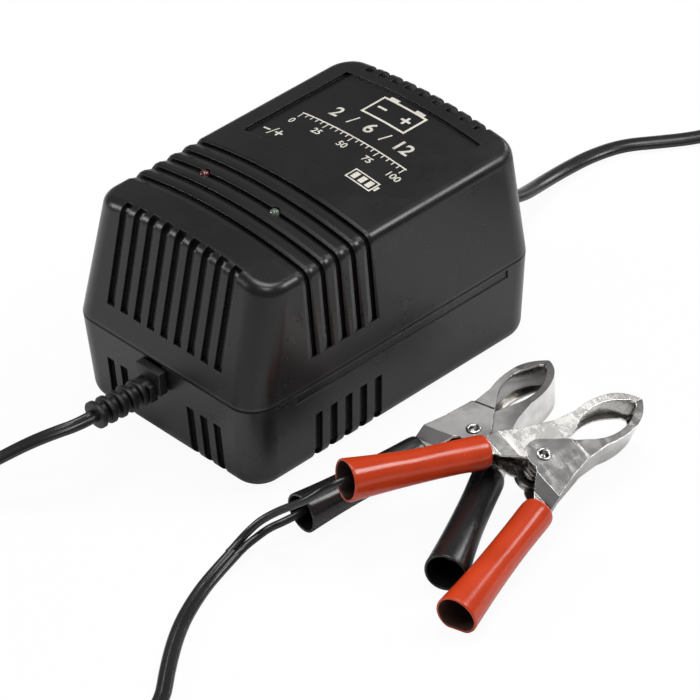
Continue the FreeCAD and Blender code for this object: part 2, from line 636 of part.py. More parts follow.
class Winding:
    """Path of arcs. Each leaves and arrives level, so a half turn may climb without a kink."""

    def __init__(self, point, ahead, side, diameter):
        self.point = point
        self.ahead = ahead
        self.side = side
        self.diameter = diameter
        self.edges = []
        self.samples = []

    def inward(self):
        return Vector(-self.ahead.y * self.side, self.ahead.x * self.side, 0)

    def straight(self, distance):
        end = self.point + self.ahead * distance
        self.edges.append(Part.LineSegment(self.point, end).toShape())
        self.point = end

    def turn(self, radius, lift, degrees):
        tilt = math.asin(lift / (2 * radius))
        across = self.inward() * math.cos(tilt) + Vector(0, 0, math.sin(tilt))
        start = self.point
        ahead = self.ahead
        hub = start + across * radius

        def at(angle):
            return hub - across * (radius * math.cos(angle)) + ahead * (radius * math.sin(angle))
        span = math.radians(degrees)
        self.edges.append(Part.Arc(start, at(span / 2), at(span)).toShape())
        steps = max(2, int(degrees / 7.5))
        self.samples.extend(at(span * k / steps) for k in range(steps))
        self.point = at(span)
        way = ahead * math.cos(span) + across * math.sin(span)
        self.ahead = Vector(way.x, way.y, 0).normalize()

    def tube(self, label):
        path = Part.Wire(self.edges)
        begin = path.Vertexes[0].Point
        second = path.Vertexes[1].Point
        ring_wire = Part.Wire([Part.Circle(begin, second - begin, self.diameter / 2).toShape()])
        solid = path.makePipeShell([ring_wire], True, False)
        least = min(self.samples[i].distanceToPoint(self.samples[j]) for i in range(len(self.samples))
                    for j in range(i + 30, len(self.samples))) - self.diameter
        expected = math.pi * self.diameter ** 2 / 4 * path.Length
        print(label, "length", round(path.Length, 1), "volume ratio", round(solid.Volume / expected, 4),
              "least gap", round(least, 2), "begin", begin, "end", self.point, "heading", self.ahead)
        return solid, path.Length, begin, self.point


def heading_way(degrees):
    return Vector(math.cos(math.radians(degrees)), math.sin(math.radians(degrees)), 0)


def coil(diameter, middle_radius, half_turns, top_turns, tail_degrees, centre, heading, side, label):
    """Tube of half turns spiralling in, one half turn that climbs, and half turns spiralling out."""
    pitch = diameter + size("loop_gap")
    radii = [middle_radius + ((half_turns - 1) / 2 - k) * pitch / 2 for k in range(half_turns)]
    winding = Winding(Vector(0, 0, 0), heading_way(heading), side, diameter)
    middle = Vector(centre[0], centre[1], diameter / 2)
    winding.point = middle - winding.inward() * radii[0] - winding.ahead * diameter
    winding.straight(diameter)
    for radius in radii:
        winding.turn(radius, 0.0, 180.0)
    winding.turn(radii[-1] - pitch / 2, pitch, 180.0)
    outward = radii[::-1] + [radii[0] + pitch / 2]
    for radius in outward[:top_turns]:
        winding.turn(radius, 0.0, 180.0)
    if tail_degrees:
        winding.turn(outward[top_turns], 0.0, tail_degrees)
    winding.straight(diameter)
    return winding.tube(label)


lead = size("lead_width")
each = size("core_width_each")
mains = size("mains_width")


OUTPUT_COIL_CENTRE = (-20.0, -148.0)
OUTPUT_COIL_HEADING = 230.0
output_coil, output_coil_length, output_coil_start, output_coil_end = coil(
    lead, size("output_coil_radius"), 5, 4, 130.0, OUTPUT_COIL_CENTRE, OUTPUT_COIL_HEADING, 1, "output coil")
feature("output_lead_coil", output_coil)
output_route = [output_exit, output_exit + output_way * 6.0, (-6.4, -86.6, 19.8), (-9.9, -92.6, 18.3),
                (-14.2, -98.8, 15.2), (-19.2, -104.8, 11.0), (-24.6, -110.7, 6.9), (-30.0, -116.2, 3.8),
                output_coil_start - heading_way(OUTPUT_COIL_HEADING) * 6.5, output_coil_start]
output_start, output_start_length = tube([tuple(p) for p in output_route], lead, "output start")
feature("output_lead_start", output_start)
split = (50.1, -74.2, 4.0)
return_route = [output_coil_end, output_coil_end + heading_way(OUTPUT_COIL_HEADING + 130.0) * 10.0,
                (8.0, -177.6, 5.6), (24.0, -175.8, 2.8), (40.0, -172.6, 2.2), (55.0, -167.0, 2.2),
                (74.0, -155.0, 2.2), (83.0, -142.0, 2.2), (80.5, -127.5, 2.2), (70.0, -116.0, 2.2),
                (60.5, -103.5, 2.2), (54.2, -91.0, 2.2), (51.3, -81.4, 2.7), split]
output_end, output_end_length = tube([tuple(p) for p in return_route], lead, "output end")
feature("output_lead_end", output_end)

MAINS_COIL_CENTRE = (50.2, 182.0)
MAINS_COIL_HEADING = 85.0
mains_coil, mains_coil_length, mains_coil_start, mains_coil_end = coil(
    mains, size("mains_coil_radius"), 7, 7, 0.0, MAINS_COIL_CENTRE, MAINS_COIL_HEADING, -1, "mains coil")
feature("mains_lead_coil", mains_coil)
mains_route = [mains_exit, mains_exit + mains_way * 6.0, (-3.5, 87.6, 9.9), (-6.1, 94.9, 7.8),
               (-8.4, 102.8, 6.0), (-10.4, 113.4, 4.2), (-10.8, 124.4, 2.9), (-8.1, 134.8, 2.6),
               (-1.4, 143.4, 2.6), (4.9, 152.2, 2.6), (9.2, 161.8, 2.6),
               mains_coil_start - heading_way(MAINS_COIL_HEADING) * 8.5, mains_coil_start]
mains_start, mains_start_length = tube([tuple(p) for p in mains_route], mains, "mains start")
feature("mains_lead_start", mains_start)


# Plug: a flat two-pin plug on the floor beside the coil, ribbed at the cable end. It points past
# the clips, so that a socket can be put over its pins where it lies.
plug_half = size("plug_thick") / 2
mains_tail = heading_way(MAINS_COIL_HEADING + 180.0)
PLUG_HEADING = -62.0
plug_ahead = heading_way(PLUG_HEADING)
plug_bend = Vector(95.5, 138.5, plug_half)
plug_back = plug_bend + plug_ahead * 10.5
plug_width = size("plug_width") / 2
plug_length = size("plug_length")
plug_outline = [(0.0, -4.5), (6.0, -4.5), ((13.0, -7.0), (18.0, -plug_width)), (plug_length, -plug_width),
                (plug_length, plug_width), (18.0, plug_width), ((13.0, 7.0), (6.0, 4.5)), (0.0, 4.5)]
plug_flat = plate(plug_outline, -plug_half, plug_half)
side_outline = [(0.0, -4.2), (14.0, -plug_half), (plug_length, -plug_half), (plug_length, plug_half),
                (14.0, plug_half), (0.0, 4.2)]
plug_side = face(side_outline, front_view).extrude(Vector(0, FAR, 0))
plug_side.translate(Vector(0, -FAR / 2, 0))
plug_solid = plug_flat.common(plug_side).Solids[0]
plug_sides = [e for e in plug_solid.Edges if abs(e.CenterOfMass.y) > plug_width - 0.1]
plug_solid = plug_solid.makeFillet(2.0, plug_sides)
forward = Vector(1, 0, 0)
grip_core = cylinder(3.7, 12.0, Vector(0, 0, 0), forward)
grips = [box(1.5 + 2.4 * k, 2.6 + 2.4 * k, -8.0, 8.0, -8.0, 8.0).cut(grip_core) for k in range(3)]
pin_half = size("pin_spacing") / 2
root_deep = size("pin_root")
root_radius = size("pin_root_radius")
socket_holes = [cylinder(root_radius, root_deep, Vector(plug_length - root_deep, sy * pin_half, 0), forward)
                for sy in (-1, 1)]
plug_place = Placement(plug_back, Rotation(Vector(0, 0, 1), PLUG_HEADING))
feature("mains_plug_body", plug_solid.cut(grips + socket_holes), plug_place)
pins = []
for sy in (-1, 1):
    pin = cylinder(size("pin_radius"), size("pin_length"), Vector(plug_length, sy * pin_half, 0), forward)
    tip_edges = [e for e in pin.Edges if len(e.Vertexes) == 1 and e.CenterOfMass.x > plug_length + 1.0]
    pin = pin.makeFillet(size("pin_tip"), tip_edges)
    root = cylinder(root_radius, root_deep + 0.5, Vector(plug_length - root_deep, sy * pin_half, 0), forward)
    pins.append(pin.fuse(root).removeSplitter().Solids[0])
feature("mains_plug_pins", Part.makeCompound(pins), plug_place)
plug_route = [mains_coil_end, mains_coil_end + mains_tail * 10.0, (93.2, 150.5, 7.3), plug_bend, plug_back]
mains_end, mains_end_length = tube([tuple(p) for p in plug_route], mains, "mains end")
feature("mains_lead_end", mains_end)


# Clips, in their own frame: rivet axis along Z through the origin, +X to the nose. One half of
# each clip has its ears outside the other's. Each half is a pressed channel: the overlap of a
# plan and a side view, less the same pair one metal thickness further in.
thick = size("metal_thick")
jaw_half = size("jaw_half_width")
ear_half = jaw_half + size("ear_play") + thick
reach = size("jaw_reach")
turn_angle = math.radians(size("handle_angle"))
back_way = Vector(-math.cos(turn_angle), math.sin(turn_angle), 0)
out_way = Vector(math.sin(turn_angle), math.cos(turn_angle), 0)
handle_start = Vector(-size("handle_start_x"), size("handle_start_y"), 0)
handle_half = size("handle_half")


def handle_point(along, out):
    point = handle_start + back_way * along + out_way * out
    return (point.x, point.y)


def web_line(inset):
    """Outer edge of a half from the nose to the end of the handle, moved inwards by inset."""
    return [(reach - 1.6 * inset, 0.1 - inset), ((34.6 - inset, 3.9 - inset), (29.4, 6.2 - inset)),
            ((24.0, 6.9 - inset), (18.4, 6.5 - inset)), (11.0, 7.1 - inset), (1.0, 9.9 - inset),
            handle_point(-1.0, handle_half - inset),
            handle_point(size("handle_length") + 8 * inset, handle_half - inset)]


def inner_edge(ear):
    """Free edge of the flanges from the handle's end round the ear and along the mouth to the nose."""
    return [handle_point(size("handle_length"), -handle_half), handle_point(1.0, -handle_half),
            (-0.92 * ear, 0.4 * ear), ((-0.5 * ear, -0.866 * ear), (0.5 * ear, -0.866 * ear)),
            (11.6, 0.7), (16.0, 2.9), ((23.4, 4.9), (31.2, 3.2)), (34.8, 1.3), (35.4, 0.1)]


def channel_side(nose, jaw, ear, handle):
    """Half height of the channel along the clip, as a closed side view."""
    upper = [(reach + 1.0, nose), (30.0, jaw), (11.6, jaw), (10.2, ear), (-5.4, ear), (-8.4, handle),
             (-60.0, handle)]
    return upper + [(x, -z) for x, z in reversed(upper)]


def between(points):
    solid = face(points, front_view).extrude(Vector(0, FAR, 0))
    solid.translate(Vector(0, -FAR / 2, 0))
    return solid


def clip_half(ear_radius, ear_height):
    outer = plate(web_line(0.0) + inner_edge(ear_radius), -10.0, 10.0)
    outer = outer.common(between(channel_side(jaw_half - 0.5, jaw_half, ear_height, handle_half)))
    hollow = plate(web_line(thick) + [(-60.0, -40.0), (reach - 1.6 * thick, -40.0)], -10.0, 10.0)
    hollow = hollow.common(between(channel_side(jaw_half - 0.5 - thick, jaw_half - thick, ear_height - thick,
                                                handle_half - thick)))
    half = outer.cut(hollow)
    return half.cut(cylinder(size("rivet_radius") + 0.05, 30.0, Vector(0, 0, -15.0)))


def sleeve():
    """Open sleeve of soft plastic that widens to its mouth, in the frame of a handle."""
    wall = size("sleeve_wall")
    start = size("sleeve_radius")
    mouth = size("sleeve_mouth")
    length = size("sleeve_length")
    flare = mouth - start
    outside = [(size("sleeve_begin"), start), (0.45 * length, start), (0.7 * length, start + 0.25 * flare),
               (0.88 * length, start + 0.65 * flare), (length, mouth)]
    profile = outside + [(x, radius - wall) for x, radius in reversed(outside)]
    solid = face(profile, top_view).revolve(Vector(0, 0, 0), Vector(1, 0, 0), 360)
    return Part.makeSolid(solid) if solid.ShapeType != "Solid" else solid


def on_handle(solid):
    placed = solid.copy()
    placed.Placement = Placement(handle_start, Rotation(Vector(1, 0, 0), back_way)).multiply(placed.Placement)
    return placed


def torsion_spring():
    """Close coil round the rivet with one leg against each handle."""
    wire = size("spring_wire")
    radius = size("spring_radius")
    pitch = wire + size("coil_clearance")
    web = handle_point(0.0, handle_half - thick)
    leg = Vector(web[0] + 1.2, web[1] - wire / 2 - 0.5, 0)
    touch = math.atan2(leg.y, leg.x) - math.acos(radius / leg.Length)
    total = 360.0 * size("spring_turns") + 2 * math.degrees(touch)
    halves = int(total / 180.0)
    rest = (total - 180.0 * halves) / 2
    contact = Vector(radius * math.cos(touch), radius * math.sin(touch), 0)
    leg_length = leg.distanceToPoint(contact)
    winding = Winding(leg - Vector(0, 0, pitch * halves / 4), (contact - leg).normalize(), -1, wire)
    winding.straight(leg_length)
    winding.turn(radius, 0.0, rest)
    for k in range(halves):
        winding.turn(radius, pitch / 2, 180.0)
    winding.turn(radius, 0.0, rest)
    winding.straight(leg_length)
    return winding.tube("spring")[0]


def crimp():
    """Folded wire crimp at the end of the handle's channel, in the frame of a handle."""
    length = size("handle_length")
    outer = handle_half - thick - 0.1
    return cylinder(outer, 6.0, Vector(length - 7.0, 0, 0), Vector(1, 0, 0)).cut(
        cylinder(each / 2, 8.0, Vector(length - 8.0, 0, 0), Vector(1, 0, 0)))


inner_half = clip_half(4.5, jaw_half)
outer_half = mirrored_y(clip_half(4.9, ear_half))
head_gap = ear_half + 0.02
rivet = cylinder(size("rivet_radius"), 2 * head_gap + 0.2, Vector(0, 0, -head_gap - 0.1))
rivet_proud = size("rivet_proud")
rivet_heads = [cylinder(size("rivet_head"), rivet_proud, Vector(0, 0, z))
               for z in (head_gap, -head_gap - rivet_proud)]
rivet = rivet.fuse(rivet_heads).removeSplitter().Solids[0]
spring = torsion_spring()
inner_sleeve = on_handle(sleeve())
outer_sleeve = mirrored_y(inner_sleeve)
inner_crimp = on_handle(crimp())
outer_crimp = mirrored_y(inner_crimp)


def lowest(shapes, placement):
    low = 1e9
    for shape in shapes:
        placed = shape.copy()
        placed.Placement = placement.multiply(placed.Placement)
        low = min(low, min(p.z for p in placed.tessellate(0.05)[0]))
    return low


def clip(colour, shapes, x, y, rotation):
    placement = Placement(Vector(x, y, 0), rotation)
    raised = -lowest([shape for label, shape in shapes], placement)
    placement = Placement(Vector(x, y, raised), rotation)
    for label, shape in shapes:
        feature(colour + "_" + label, shape, placement)
    return placement


flipped = Rotation(Vector(1, 0, 0), 180)
black_turn = Rotation(Vector(0, 0, 1), size("black_heading")).multiply(flipped)
red_turn = Rotation(Vector(0, 0, 1), size("red_heading")).multiply(
    Rotation(Vector(0, 1, 0), size("red_pitch"))).multiply(Rotation(Vector(1, 0, 0), size("red_roll")))
# The upper half of each clip, as the photograph shows it, carries the wire and is the half that moves.
shared = [("rivet", rivet), ("spring", spring)]
black_shapes = [("upper_jaw", outer_half), ("lower_jaw", inner_half), ("upper_sleeve", outer_sleeve),
                ("lower_sleeve", inner_sleeve), ("crimp", outer_crimp)]
red_shapes = [("upper_jaw", inner_half), ("lower_jaw", outer_half), ("upper_sleeve", inner_sleeve),
              ("lower_sleeve", outer_sleeve), ("crimp", inner_crimp)]
black_place = clip("black", shared + black_shapes, size("black_x"), size("black_y"), black_turn)
red_place = clip("red", shared + red_shapes, size("red_x"), size("red_y"), red_turn)
for colour, place in (("black", black_place), ("red", red_place)):
    print(colour, "rivet", place.Base, "axis", place.Rotation.multVec(Vector(0, 0, 1)),
          "handle mouth", [place.multVec(Vector(*handle_point(size("sleeve_length"), 0), 0)),
                           place.multVec(Vector(handle_point(size("sleeve_length"), 0)[0],
                                                -handle_point(size("sleeve_length"), 0)[1], 0))])


# Wires from the end of the flat lead to the clips. The last stretch of each turns with its sleeve.
def wires(colour, place, side, offset, loose_points):
    """Free stretch from the lead's end and the stretch that enters the sleeve and ends in the crimp."""
    begin = Vector(*split) + split_side * offset
    loose = [begin, begin + split_way * 3.3] + [Vector(*point) for point in loose_points]
    last_way = (loose[-1] - loose[-2]).normalize()
    entering = [loose[-1], loose[-1] + last_way * size(colour + "_entry")]
    for along, out in ((size("sleeve_length") + 4.5, 0.0), (size("sleeve_length") - 4.2, 0.2),
                       (size("handle_length") - 5.0, 0.0)):
        spot = handle_point(along, out)
        entering.append(place.multVec(Vector(spot[0], side * spot[1], 0)))
    feature(colour + "_wire", tube(loose, each, colour + " wire")[0])
    feature(colour + "_wire_end", tube(entering, each, colour + " wire end")[0])


split_way = (Vector(*split) - Vector(*return_route[-2])).normalize()
split_side = Vector(split_way.y, -split_way.x, 0).normalize()
half_apart = each / 2 + 0.05
wires("red", red_place, 1, -half_apart,
      [(48.9, -68.2, 6.1), (50.5, -65.4, 8.5), (54.2, -62.9, 12.0), (59.3, -61.1, 16.1)])
wires("black", black_place, -1, half_apart, [(50.95, -67.4, 4.85)])

doc.recompute()
for item in doc.Objects:
    if "Invalid" in item.State or "Error" in item.State:
        raise SystemExit("failed object: " + item.Label)
for piece in pieces:
    if piece.Shape.isNull() or not piece.Shape.isValid() or piece.Shape.Volume <= 0:
        raise SystemExit("failed shape: " + piece.Label)

os.makedirs("parts", exist_ok=True)
for piece in pieces:
    piece.Shape.exportStep("parts/" + piece.Label + ".step")
print(len(pieces), "sub-parts written")
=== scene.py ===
# %% [markdown]
# # A car battery charger, dressed
# This lesson dresses a small battery charger whose solids come ready measured from the CAD.
# The solids stay where they are. We give them a camera, light and finishes, and we build the
# soft things ourselves: leads, boots, springs, sleeves and the print on the lid.

# %% Load the measured solids
import json
import math

import bpy
from mathutils import Matrix, Vector

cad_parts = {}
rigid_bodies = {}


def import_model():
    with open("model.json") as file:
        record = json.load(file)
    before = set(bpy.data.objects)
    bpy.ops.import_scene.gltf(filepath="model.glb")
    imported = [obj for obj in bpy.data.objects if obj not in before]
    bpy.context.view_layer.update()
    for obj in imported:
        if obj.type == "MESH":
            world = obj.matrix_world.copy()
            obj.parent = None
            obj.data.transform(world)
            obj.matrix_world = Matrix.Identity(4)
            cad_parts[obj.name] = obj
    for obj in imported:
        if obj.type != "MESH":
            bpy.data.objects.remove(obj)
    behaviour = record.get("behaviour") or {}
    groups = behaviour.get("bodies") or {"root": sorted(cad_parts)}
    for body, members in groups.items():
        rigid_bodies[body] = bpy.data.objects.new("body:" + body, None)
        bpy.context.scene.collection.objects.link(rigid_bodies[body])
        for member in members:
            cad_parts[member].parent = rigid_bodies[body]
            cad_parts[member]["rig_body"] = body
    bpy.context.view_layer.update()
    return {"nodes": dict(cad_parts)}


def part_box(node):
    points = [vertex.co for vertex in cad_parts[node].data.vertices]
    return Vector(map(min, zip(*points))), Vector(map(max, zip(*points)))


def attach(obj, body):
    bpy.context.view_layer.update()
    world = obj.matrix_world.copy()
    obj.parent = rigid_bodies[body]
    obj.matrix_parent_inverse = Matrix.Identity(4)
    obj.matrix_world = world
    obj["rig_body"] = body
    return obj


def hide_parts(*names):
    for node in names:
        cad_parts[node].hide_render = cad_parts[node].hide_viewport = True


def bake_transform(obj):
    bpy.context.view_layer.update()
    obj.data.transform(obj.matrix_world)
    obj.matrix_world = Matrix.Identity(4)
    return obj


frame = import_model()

solids = frame["nodes"]
MM = 0.001


def nothing_selected():
    """Operators act on all that is selected, so each step starts from nothing."""
    if bpy.context.object and bpy.context.object.mode != "OBJECT":
        bpy.ops.object.mode_set(mode="OBJECT")
    bpy.ops.object.select_all(action="DESELECT")


def only(piece):
    nothing_selected()
    piece.select_set(True)
    bpy.context.view_layer.objects.active = piece


def settled():
    """The active piece, with its place, turn and size written into its points."""
    bpy.ops.object.transform_apply(location=True, rotation=True, scale=True)
    return bpy.context.object


nothing_selected()

# %% [markdown]
# ## Camera
# The charger is seen from its output end, a little to the right and from above, with a long
# lens, so that its edges stay almost parallel. We could aim the camera by eye. Here its three
# angles are known, so we build its axes from them and place it along its own line of sight.

# %% Camera
azimuth = math.radians(47.918)
elevation = math.radians(36.688)
roll = math.radians(-2.686)
distance = 1270.908 * MM
slide_right = -12.31 * MM
slide_up = 21.327 * MM
aim = Vector((0, 0, 30 * MM))

back = Vector((math.sin(azimuth) * math.cos(elevation),
               -math.cos(azimuth) * math.cos(elevation),
               math.sin(elevation)))
level_right = Vector((math.cos(azimuth), math.sin(azimuth), 0))
level_up = back.cross(level_right)
right = level_right * math.cos(roll) + level_up * math.sin(roll)
up = level_up * math.cos(roll) - level_right * math.sin(roll)
eye = aim + back * distance - right * slide_right - up * slide_up
turned = Matrix((right, up, back)).transposed().to_euler()
bpy.ops.object.camera_add(location=eye, rotation=turned)
camera = bpy.context.object
camera.name = "camera"
camera.data.sensor_width = 36
camera.data.lens = 237.46
bpy.context.scene.camera = camera
nothing_selected()
print("camera at", [round(c, 3) for c in eye], "m")

# %% [markdown]
# ## Floor and light
# Such a charger is photographed in a white tent: a pale floor all round it and large soft
# lamps. The floor takes the shadow like any pale surface. For the camera it is also bright
# of its own, so that it stays white, while metal and plastic mirror the floor as it is lit.

# %% Floor


def feed(tree, socket, value):
    """Gives a socket a number, a colour or the output of another node."""
    if isinstance(value, (int, float)):
        socket.default_value = value
    elif isinstance(value, tuple):
        socket.default_value = (*value, 1)
    else:
        tree.links.new(value, socket)


def math_node(tree, operation, first, second=None):
    """One calculation on values that are each a number or a node's output."""
    node = tree.nodes.new("ShaderNodeMath")
    node.operation = operation
    feed(tree, node.inputs[0], first)
    if second is not None:
        feed(tree, node.inputs[1], second)
    return node.outputs[0]


bpy.ops.mesh.primitive_plane_add(size=8, location=(0, 0, -0.1 * MM))
floor = bpy.context.object
floor.name = "floor"

glow_share = 0.94
paper = bpy.data.materials.new("floor_paper")
paper.use_nodes = True
tree = paper.node_tree
tree.nodes.clear()
lit = tree.nodes.new("ShaderNodeBsdfDiffuse")
lit.inputs["Color"].default_value = (0.84, 0.84, 0.84, 1)
glow = tree.nodes.new("ShaderNodeEmission")
glow.inputs["Color"].default_value = (1, 1, 1, 1)
rays = tree.nodes.new("ShaderNodeLightPath").outputs
seen = math_node(tree, "MAXIMUM", rays["Is Camera Ray"], rays["Is Transmission Ray"])
mix = tree.nodes.new("ShaderNodeMixShader")
tree.links.new(math_node(tree, "MULTIPLY", seen, glow_share), mix.inputs["Fac"])
tree.links.new(lit.outputs[0], mix.inputs[1])
tree.links.new(glow.outputs[0], mix.inputs[2])
tree.links.new(mix.outputs[0], tree.nodes.new("ShaderNodeOutputMaterial").inputs["Surface"])
floor.data.materials.append(paper)
print("floor of", [round(side, 1) for side in floor.dimensions[:2]], "m")

# %% Lamps and surroundings
lamps = {
    # where it stands and how large it is, in metres, and its power in watts
    "lamp_key": ((-0.15, 0.25, 1.45), (0.70, 0.60), 10),
    "lamp_side": ((0.64, 0.80, 1.06), (0.50, 0.42), 7.5),
    "lamp_left": ((-1.10, -0.95, 0.70), (0.50, 0.45), 7),
    "lamp_front": ((0.46, -0.30, 1.25), (0.44, 0.38), 3.4),
    "lamp_back": ((-0.12, 1.30, 0.50), (0.50, 0.20), 2.5),
}
middle = Vector((0, 0, 0.03))
for name, (place, (width, height), power) in lamps.items():
    bpy.ops.object.light_add(type="AREA", location=place)
    lamp = bpy.context.object
    lamp.name = name
    lamp.rotation_euler = (middle - Vector(place)).to_track_quat("-Z", "Y").to_euler()
    lamp.data.shape = "RECTANGLE"
    lamp.data.size = width
    lamp.data.size_y = height
    lamp.data.energy = power
    nothing_selected()

world = bpy.data.worlds.new("tent")
bpy.context.scene.world = world
world.use_nodes = True
sky = world.node_tree.nodes["Background"].inputs
sky["Color"].default_value = (0.18, 0.18, 0.184, 1)
sky["Strength"].default_value = 1.0
bpy.context.scene.view_settings.view_transform = "Standard"
print(len(lamps), "lamps")

# %% [markdown]
# ## The two leads
# A lead is a fixed length of something bendy that lies where it falls. The output lead is a
# flat twin: two round cores side by side with a thin web. The mains lead is a rounder oval.
# We draw each as one smooth spline through a few points, sweep its outline along it, and keep
# the spline's own points as the line that it follows. What the picture doesn't show lies in a
# neat coil outside it.

# %% A route and its line


def draw_route(name, points):
    """Smooth open spline with these control points, given in millimetres."""
    curve = bpy.data.curves.new(name, "CURVE")
    curve.dimensions = "3D"
    curve.resolution_u = 5
    spline = curve.splines.new("NURBS")
    spline.points.add(len(points) - 1)
    for spot, point in zip(spline.points, points):
        spot.co = (*(Vector(point) * MM), 1)
    spline.order_u = 3
    spline.use_endpoint_u = True
    drawn = bpy.data.objects.new(name, curve)
    bpy.context.scene.collection.objects.link(drawn)
    return drawn


def line_of(drawn):
    """The points of the drawn line itself, in metres."""
    bpy.context.view_layer.update()
    graph = bpy.context.evaluated_depsgraph_get()
    mesh = bpy.data.meshes.new_from_object(drawn.evaluated_get(graph))
    points = [vertex.co.copy() for vertex in mesh.vertices]
    bpy.data.meshes.remove(mesh)
    return points


def length_of(points):
    return sum((b - a).length for a, b in zip(points, points[1:]))


print("3 across and 4 up are", length_of([Vector((0, 0)), Vector((3, 4))]), "long")

# %% An outline and the tube it sweeps


def outline(name, points):
    """Closed flat outline, in millimetres, to sweep along a route."""
    curve = bpy.data.curves.new(name, "CURVE")
    curve.dimensions = "2D"
    spline = curve.splines.new("POLY")
    spline.points.add(len(points) - 1)
    for spot, (x, y) in zip(spline.points, points):
        spot.co = (x * MM, y * MM, 0, 1)
    spline.use_cyclic_u = True
    drawn = bpy.data.objects.new(name, curve)
    bpy.context.scene.collection.objects.link(drawn)
    return drawn


def face_outwards(piece, weld=None):
    """Turns the faces outwards, once points that lie closer than the weld are joined."""
    only(piece)
    bpy.ops.object.mode_set(mode="EDIT")
    bpy.ops.mesh.select_all(action="SELECT")
    if weld:
        bpy.ops.mesh.remove_doubles(threshold=weld)
    bpy.ops.mesh.normals_make_consistent(inside=False)
    bpy.ops.object.mode_set(mode="OBJECT")


def sweep(drawn, section):
    """Turns a drawn route into a closed tube with this outline."""
    drawn.data.twist_mode = "Z_UP"
    drawn.data.bevel_mode = "OBJECT"
    drawn.data.bevel_object = section
    drawn.data.use_fill_caps = True
    only(drawn)
    bpy.ops.object.convert(target="MESH")
    tube = bpy.context.object
    face_outwards(tube, weld=0.001 * MM)
    bpy.ops.object.shade_smooth_by_angle(angle=math.radians(40))
    nothing_selected()
    bpy.data.objects.remove(section)
    return tube


core_radius = 1.1


def twin_section():
    """Two cores side by side, joined by a web."""
    points = []
    for side in (1, -1):
        for step in range(15):
            angle = math.radians(-140 + 20 * step)
            across = side * (core_radius + core_radius * math.cos(angle))
            points.append((across, side * core_radius * math.sin(angle)))
    return outline("twin_section", points)


def oval_section(wide, tall, steps=20):
    points = []
    for step in range(steps):
        angle = 2 * math.pi * step / steps
        points.append((wide / 2 * math.cos(angle), tall / 2 * math.sin(angle)))
    return outline("oval_section", points)


print("a core is", 2 * core_radius, "mm across")

# %% Coils


def wind(start, heading, side, bends, step=27):
    """Control points of a coil that starts here, one bend after another.

    A bend is a radius, the degrees that it turns and what it climbs."""
    points = []
    x, y, z = start
    facing = math.radians(heading)
    for radius, degrees, climb in bends:
        hub_x = x - side * radius * math.sin(facing)
        hub_y = y + side * radius * math.cos(facing)
        steps = max(1, round(degrees / step))
        for number in range(steps):
            turn = facing + side * math.radians(degrees) * number / steps
            points.append((hub_x + side * radius * math.sin(turn),
                           hub_y - side * radius * math.cos(turn),
                           z + climb * number / steps))
        facing += side * math.radians(degrees)
        x = hub_x + side * radius * math.sin(facing)
        y = hub_y - side * radius * math.cos(facing)
        z += climb
    return points


def spiral(widest, pitch, halves, climb, tail):
    """Half turns inwards on the floor, one that climbs, and half turns outwards on top."""
    inwards = [widest - pitch / 2 * number for number in range(halves)]
    bends = [(radius, 180, 0) for radius in inwards]
    bends.append((inwards[-1] - pitch / 2, 180, climb))
    bends += [(radius, degrees, 0) for radius, degrees in zip(reversed(inwards), tail)]
    return bends


print("a quarter turn takes", len(wind((0, 0, 0), 0, 1, [(20, 90, 0)])), "points")

# %% [markdown]
# ### Output lead
# It leaves the ribbed boot, sags to the floor and goes out of the picture on the left, where
# the coil lies. From the coil it comes back into the picture at the bottom and splits into
# its two cores just before the clips.

# %% Output lead
output_rest = 1.12
output_exit = (-3.397, -75.119, 20.4)
output_out = [
    (-3.19, -72.13, 20.4), output_exit, (-3.816, -81.104, 20.3), (-6.4, -86.6, 19.5),
    (-9.9, -92.6, 17.6), (-14.2, -98.8, 14.2), (-19.2, -104.8, 9.8), (-24.6, -110.7, 5.6),
    (-30.0, -116.2, 2.6), (-34.67, -121.46, 1.3),
]
nearly_straight = (400, 0.63, 0)
turns = spiral(widest=28.3, pitch=5.3, halves=5, climb=2.3, tail=[180, 180, 180, 180, 130])
output_coil = wind((-38.851, -126.439, output_rest), 230, 1, [nearly_straight] + turns)
lead_back = [(-11.180, -180.009, 3.4), (-1.18, -180.0, 3.2), (8, -177.6, 2.2)]
lead_back += [(x, y, output_rest) for x, y in (
    (24, -175.8), (40, -172.6), (55, -167), (74, -155), (83, -142), (80.5, -127.5),
    (70, -116), (60.5, -103.5), (54.2, -91))]
lead_back += [(51.3, -81.4, 1.7), (50.1, -74.2, 2.9)]
drawn = draw_route("output_lead", output_out + output_coil + lead_back)
output_line = line_of(drawn)
output_lead = sweep(drawn, twin_section())
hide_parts("output_lead_start", "output_lead_coil", "output_lead_end")
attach(output_lead, "root")
print("output lead", round(length_of(output_line), 3), "m along", len(output_line), "points")

# %% [markdown]
# ### Mains lead
# The mains lead is thicker and stiffer. It leaves the back of the case, lies on the floor,
# goes out of the picture on the right and ends in its plug beside the coil.

